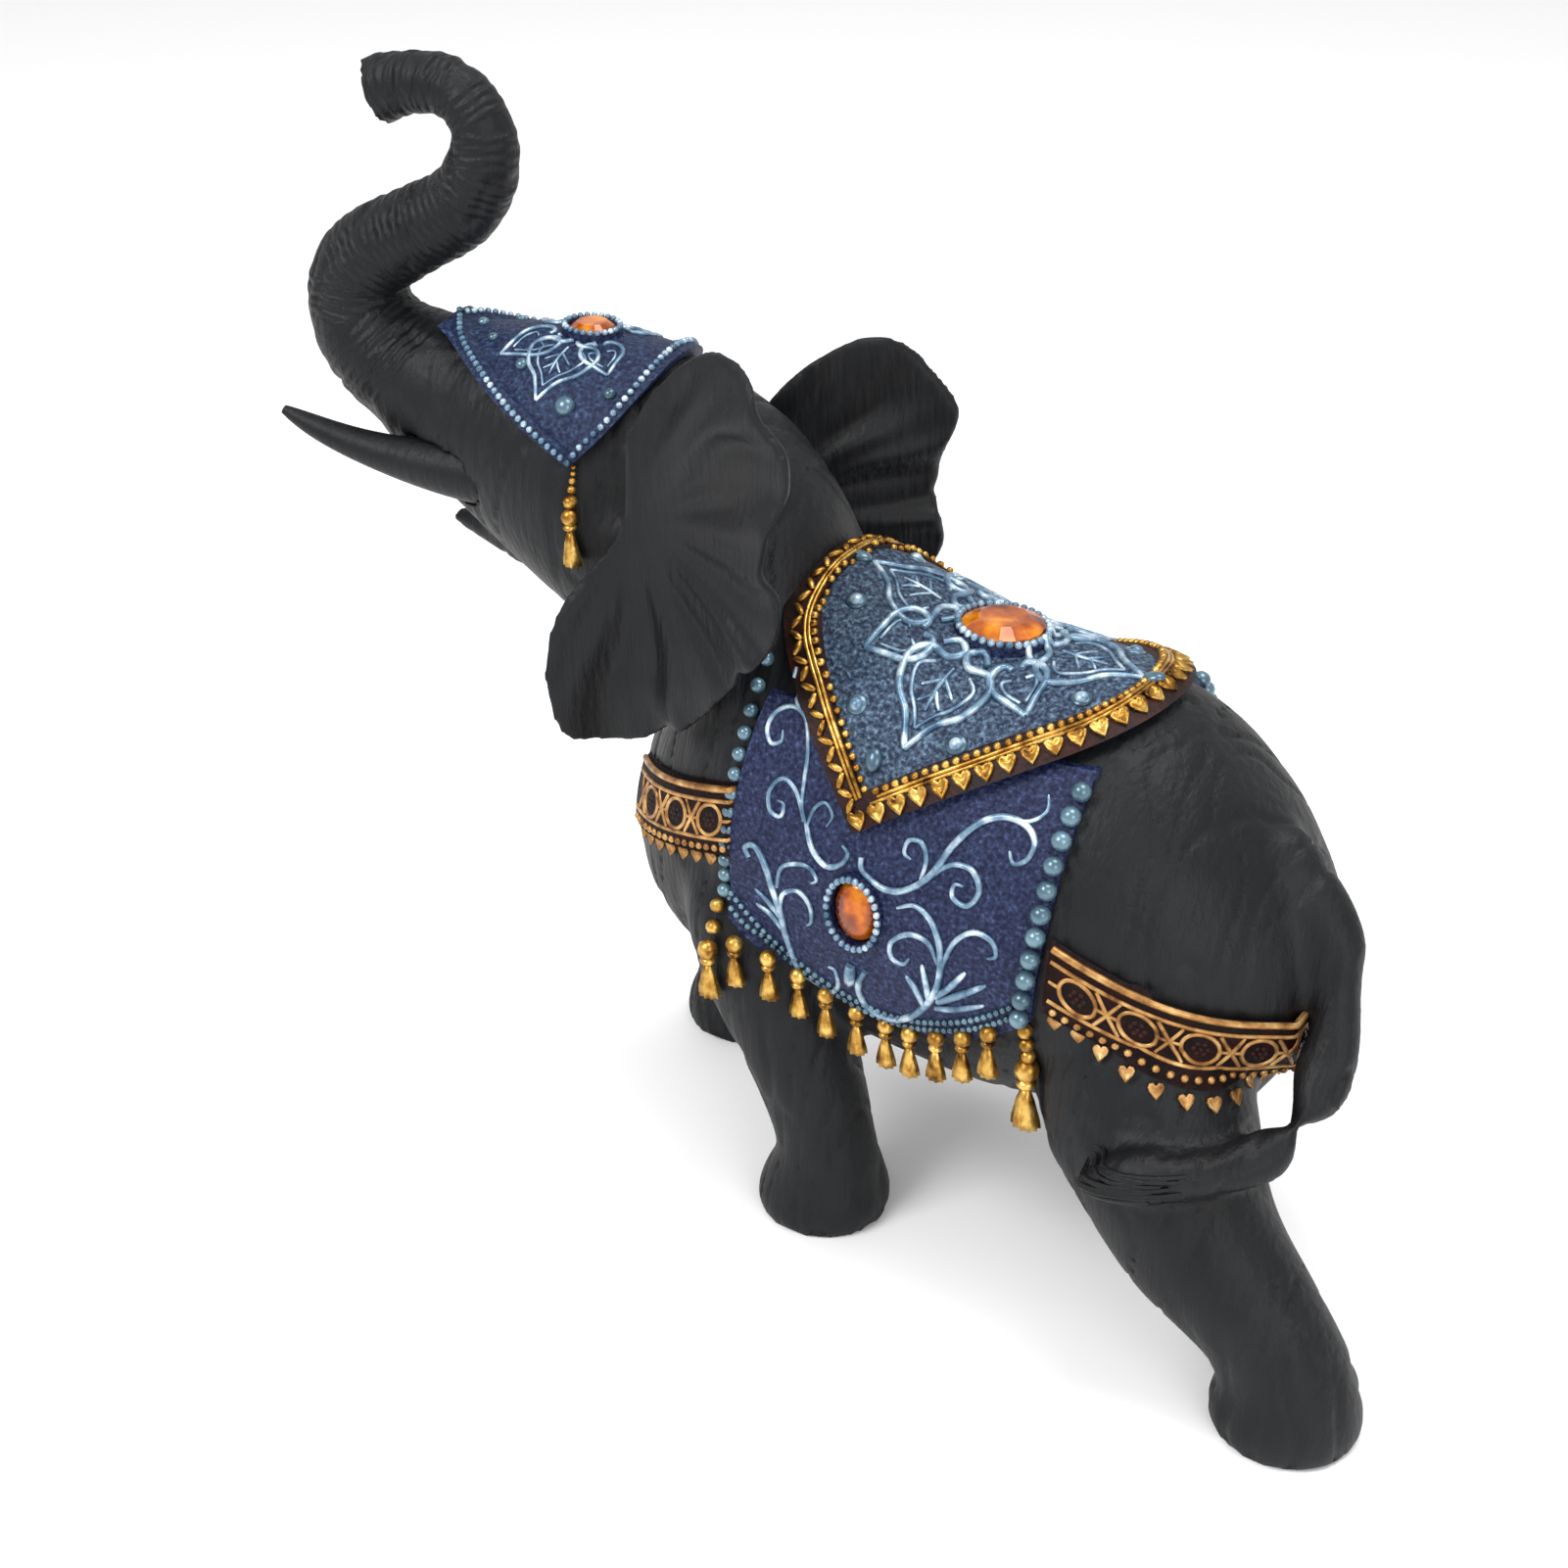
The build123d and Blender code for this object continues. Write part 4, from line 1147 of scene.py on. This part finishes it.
def band_flowers(place, start, count):
    """The flowers in the roundels."""
    flowers = bmesh.new()
    for index in range(count):
        u = start + ROUNDEL_PITCH * (index + 0.5)
        for petal in range(6):
            turn = 2 * math.pi * petal / 6
            aside = u + ROUNDEL_HALF * 0.42 * math.cos(turn)
            low = ROUNDEL_LOW + 1.25 * math.sin(turn)
            add_bead(flowers, None, 0.62, 0.8, stance(place, aside, low, 0, 0.0), 6)
        add_bead(flowers, None, 0.5, 0.9, stance(place, u, ROUNDEL_LOW, 0, 0.2), 6)
    return flowers


def band_drops(place, start, stop):
    """The row of beads, with a heart under every other one."""
    drops = bmesh.new()
    for index in range(int((stop - start) / DROP_PITCH)):
        u = start + DROP_PITCH * (index + 0.5)
        add_bead(drops, None, 0.85, 0.9, stance(place, u, 13.2, 0, 0.15), 7)
        if index % 2 == 0:
            add_heart(drops, stance(place, u, 16.4, math.pi / 2, 0.1), 1.6, 1.1)
    return drops


for band_name, facts in BANDS.items():
    for side_name, sign in SIDES.items():
        place = band_place(band_name, sign)
        start, stop = facts["from"], facts["to"]
        count = int((stop - start) / ROUNDEL_PITCH)
        band_ground(band_name, side_name, place, start, stop)
        strokes = band_strokes(start, stop, count)
        relief_piece(f"{band_name}_rails_{side_name}", strokes, place, copper)
        flowers = band_flowers(place, start, count)
        mesh_piece(f"{band_name}_flowers_{side_name}", flowers, wash)
        mesh_piece(f"{band_name}_drops_{side_name}", band_drops(place, start, stop), copper)

# %% [markdown]
# Stones: the one on the back and the one on the head are cut with facets and keep flat shading; the flank
# stones are smooth domes. Each has a ring of seed beads round it.
# %% Stones


GIRDLE_SINK = 2.4
CROWN_STEPS = ((0.9, 1.0), (1.5, 0.60))
DOME_DEPTH = 3.6 * MM


def cut_stone(node):
    """A round brilliant's crown: girdle, main facets and a table."""
    (x0, y0, _), (x1, y1, z1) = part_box(node)
    girdle = Vector(((x0 + x1) / 2, (y0 + y1) / 2, z1)) - Vector((0, 0, GIRDLE_SINK * MM))
    gem = bmesh.new()
    bmesh.ops.create_circle(gem, cap_ends=True, segments=16, radius=(x1 - x0) / 2 * 0.99,
                            matrix=Matrix.Translation(girdle))
    face = gem.faces[:][0]
    for rise, shrink in CROWN_STEPS:
        grown = bmesh.ops.extrude_face_region(gem, geom=[face])
        verts = [item for item in grown["geom"] if isinstance(item, bmesh.types.BMVert)]
        middle = sum((v.co for v in verts), Vector()) / len(verts)
        for vert in verts:
            vert.co = middle + (vert.co - middle) * shrink + Vector((0, 0, rise * MM))
        face = next(item for item in grown["geom"] if isinstance(item, bmesh.types.BMFace))
    mesh_piece(f"{node}_cut", gem, amber, [node], smooth=False)


cut_stone("back_stone")
cut_stone("head_stone")
for side_name, sign in SIDES.items():
    (x0, y0, z0), (x1, y1, z1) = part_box(f"{side_name}_side_stone")
    outer_y = y0 if sign > 0 else y1
    dome = bmesh.new()
    size = Matrix.Diagonal(((x1 - x0) / 2, DOME_DEPTH, (z1 - z0) / 2, 1.0))
    seat = Matrix.Translation(((x0 + x1) / 2, outer_y + sign * DOME_DEPTH, (z0 + z1) / 2))
    bmesh.ops.create_uvsphere(dome, u_segments=32, v_segments=20, radius=1.0, matrix=seat @ size)
    mesh_piece(f"{side_name}_side_dome", dome, amber, [f"{side_name}_side_stone"])

stone_beads = bmesh.new()
STONE_RINGS = [("back_setting", 2, 1, 32, 0.84), ("head_setting", 2, 1, 24, 0.66),
               ("left_side_setting", 1, -1, 26, 0.75), ("right_side_setting", 1, 1, 26, 0.75)]
for node_name, axis, way, count, radius in STONE_RINGS:
    low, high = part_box(node_name)
    centre = [(a + b) / 2 for a, b in zip(low, high)]
    flat = [index for index in range(3) if index != axis]
    ring_size = [(high[index] - low[index]) / 2 - 0.6 * MM for index in flat]
    outward = Vector([way if index == axis else 0 for index in range(3)])
    for index in range(count):
        turn = 2 * math.pi * index / count
        spot = Vector(centre)
        spot[flat[0]] += ring_size[0] * math.cos(turn)
        spot[flat[1]] += ring_size[1] * math.sin(turn)
        rest, _ = settle(spot, outward, radius * 0.45)
        add_bead(stone_beads, rest, radius, 1.0, None, 7)
mesh_piece("stone_seed_beads", stone_beads, silver)

# %% [markdown]
# The stage is a plain pale floor under soft studio light, and the camera looks down on the left flank, from a
# little behind its middle.
# %% Floor, light and camera
floor_mesh = bmesh.new()
bmesh.ops.create_grid(floor_mesh, x_segments=1, y_segments=1, size=4.0)
floor_data = bpy.data.meshes.new("studio_floor")
floor_mesh.to_mesh(floor_data)
floor_mesh.free()
floor = placed("studio_floor", floor_data)
pale, pale_shader = new_finish("pale_floor", 0.7)
pale_shader.inputs["Base Color"].default_value = (0.93, 0.93, 0.93, 1.0)
floor.data.materials.append(pale)

world = bpy.data.worlds.new("studio")
world.use_nodes = True
world.node_tree.nodes["Background"].inputs["Color"].default_value = (1.0, 1.0, 1.0, 1.0)
world.node_tree.nodes["Background"].inputs["Strength"].default_value = 0.8
bpy.context.scene.world = world


def looking(place, way):
    """The pose of a lamp or camera at a place, that looks a way."""
    return Matrix.Translation(place) @ way.to_track_quat("-Z", "Y").to_matrix().to_4x4()


def soft_light(name, place, aim, size, power):
    """A large square lamp that looks at a place."""
    lamp = bpy.data.lights.new(name, "AREA")
    lamp.size = size
    lamp.energy = power
    placed(name, lamp).matrix_world = looking(place, aim - place)


aim = body_place(-20, 0, 95)
soft_light("key", Vector((-0.35, -0.75, 0.95)), aim, 0.5, 9.0)
soft_light("top", Vector((0.25, 0.15, 1.2)), aim, 0.6, 8.0)
soft_light("fill", Vector((0.9, -0.6, 0.5)), aim, 0.6, 4.0)

CAMERA_FAR = 500.0
CAMERA_ROUND = math.radians(33.0)
CAMERA_UP = math.radians(30.0)
SENSOR = 36.0
LENS = 53.97
looks_at = body_place(-46.0, 0.0, 81.1)
level = math.cos(CAMERA_UP)
back = Vector((math.sin(CAMERA_ROUND) * level, -math.cos(CAMERA_ROUND) * level, math.sin(CAMERA_UP)))
camera_data = bpy.data.cameras.new("studio_camera")
camera_data.lens = LENS
camera_data.sensor_width = SENSOR
camera = placed("studio_camera", camera_data)
camera.matrix_world = looking(looks_at + back * CAMERA_FAR * MM, -back)
bpy.context.scene.camera = camera
bpy.context.scene.view_settings.view_transform = "Standard"
print("camera", [round(value, 3) for value in camera.matrix_world.translation])
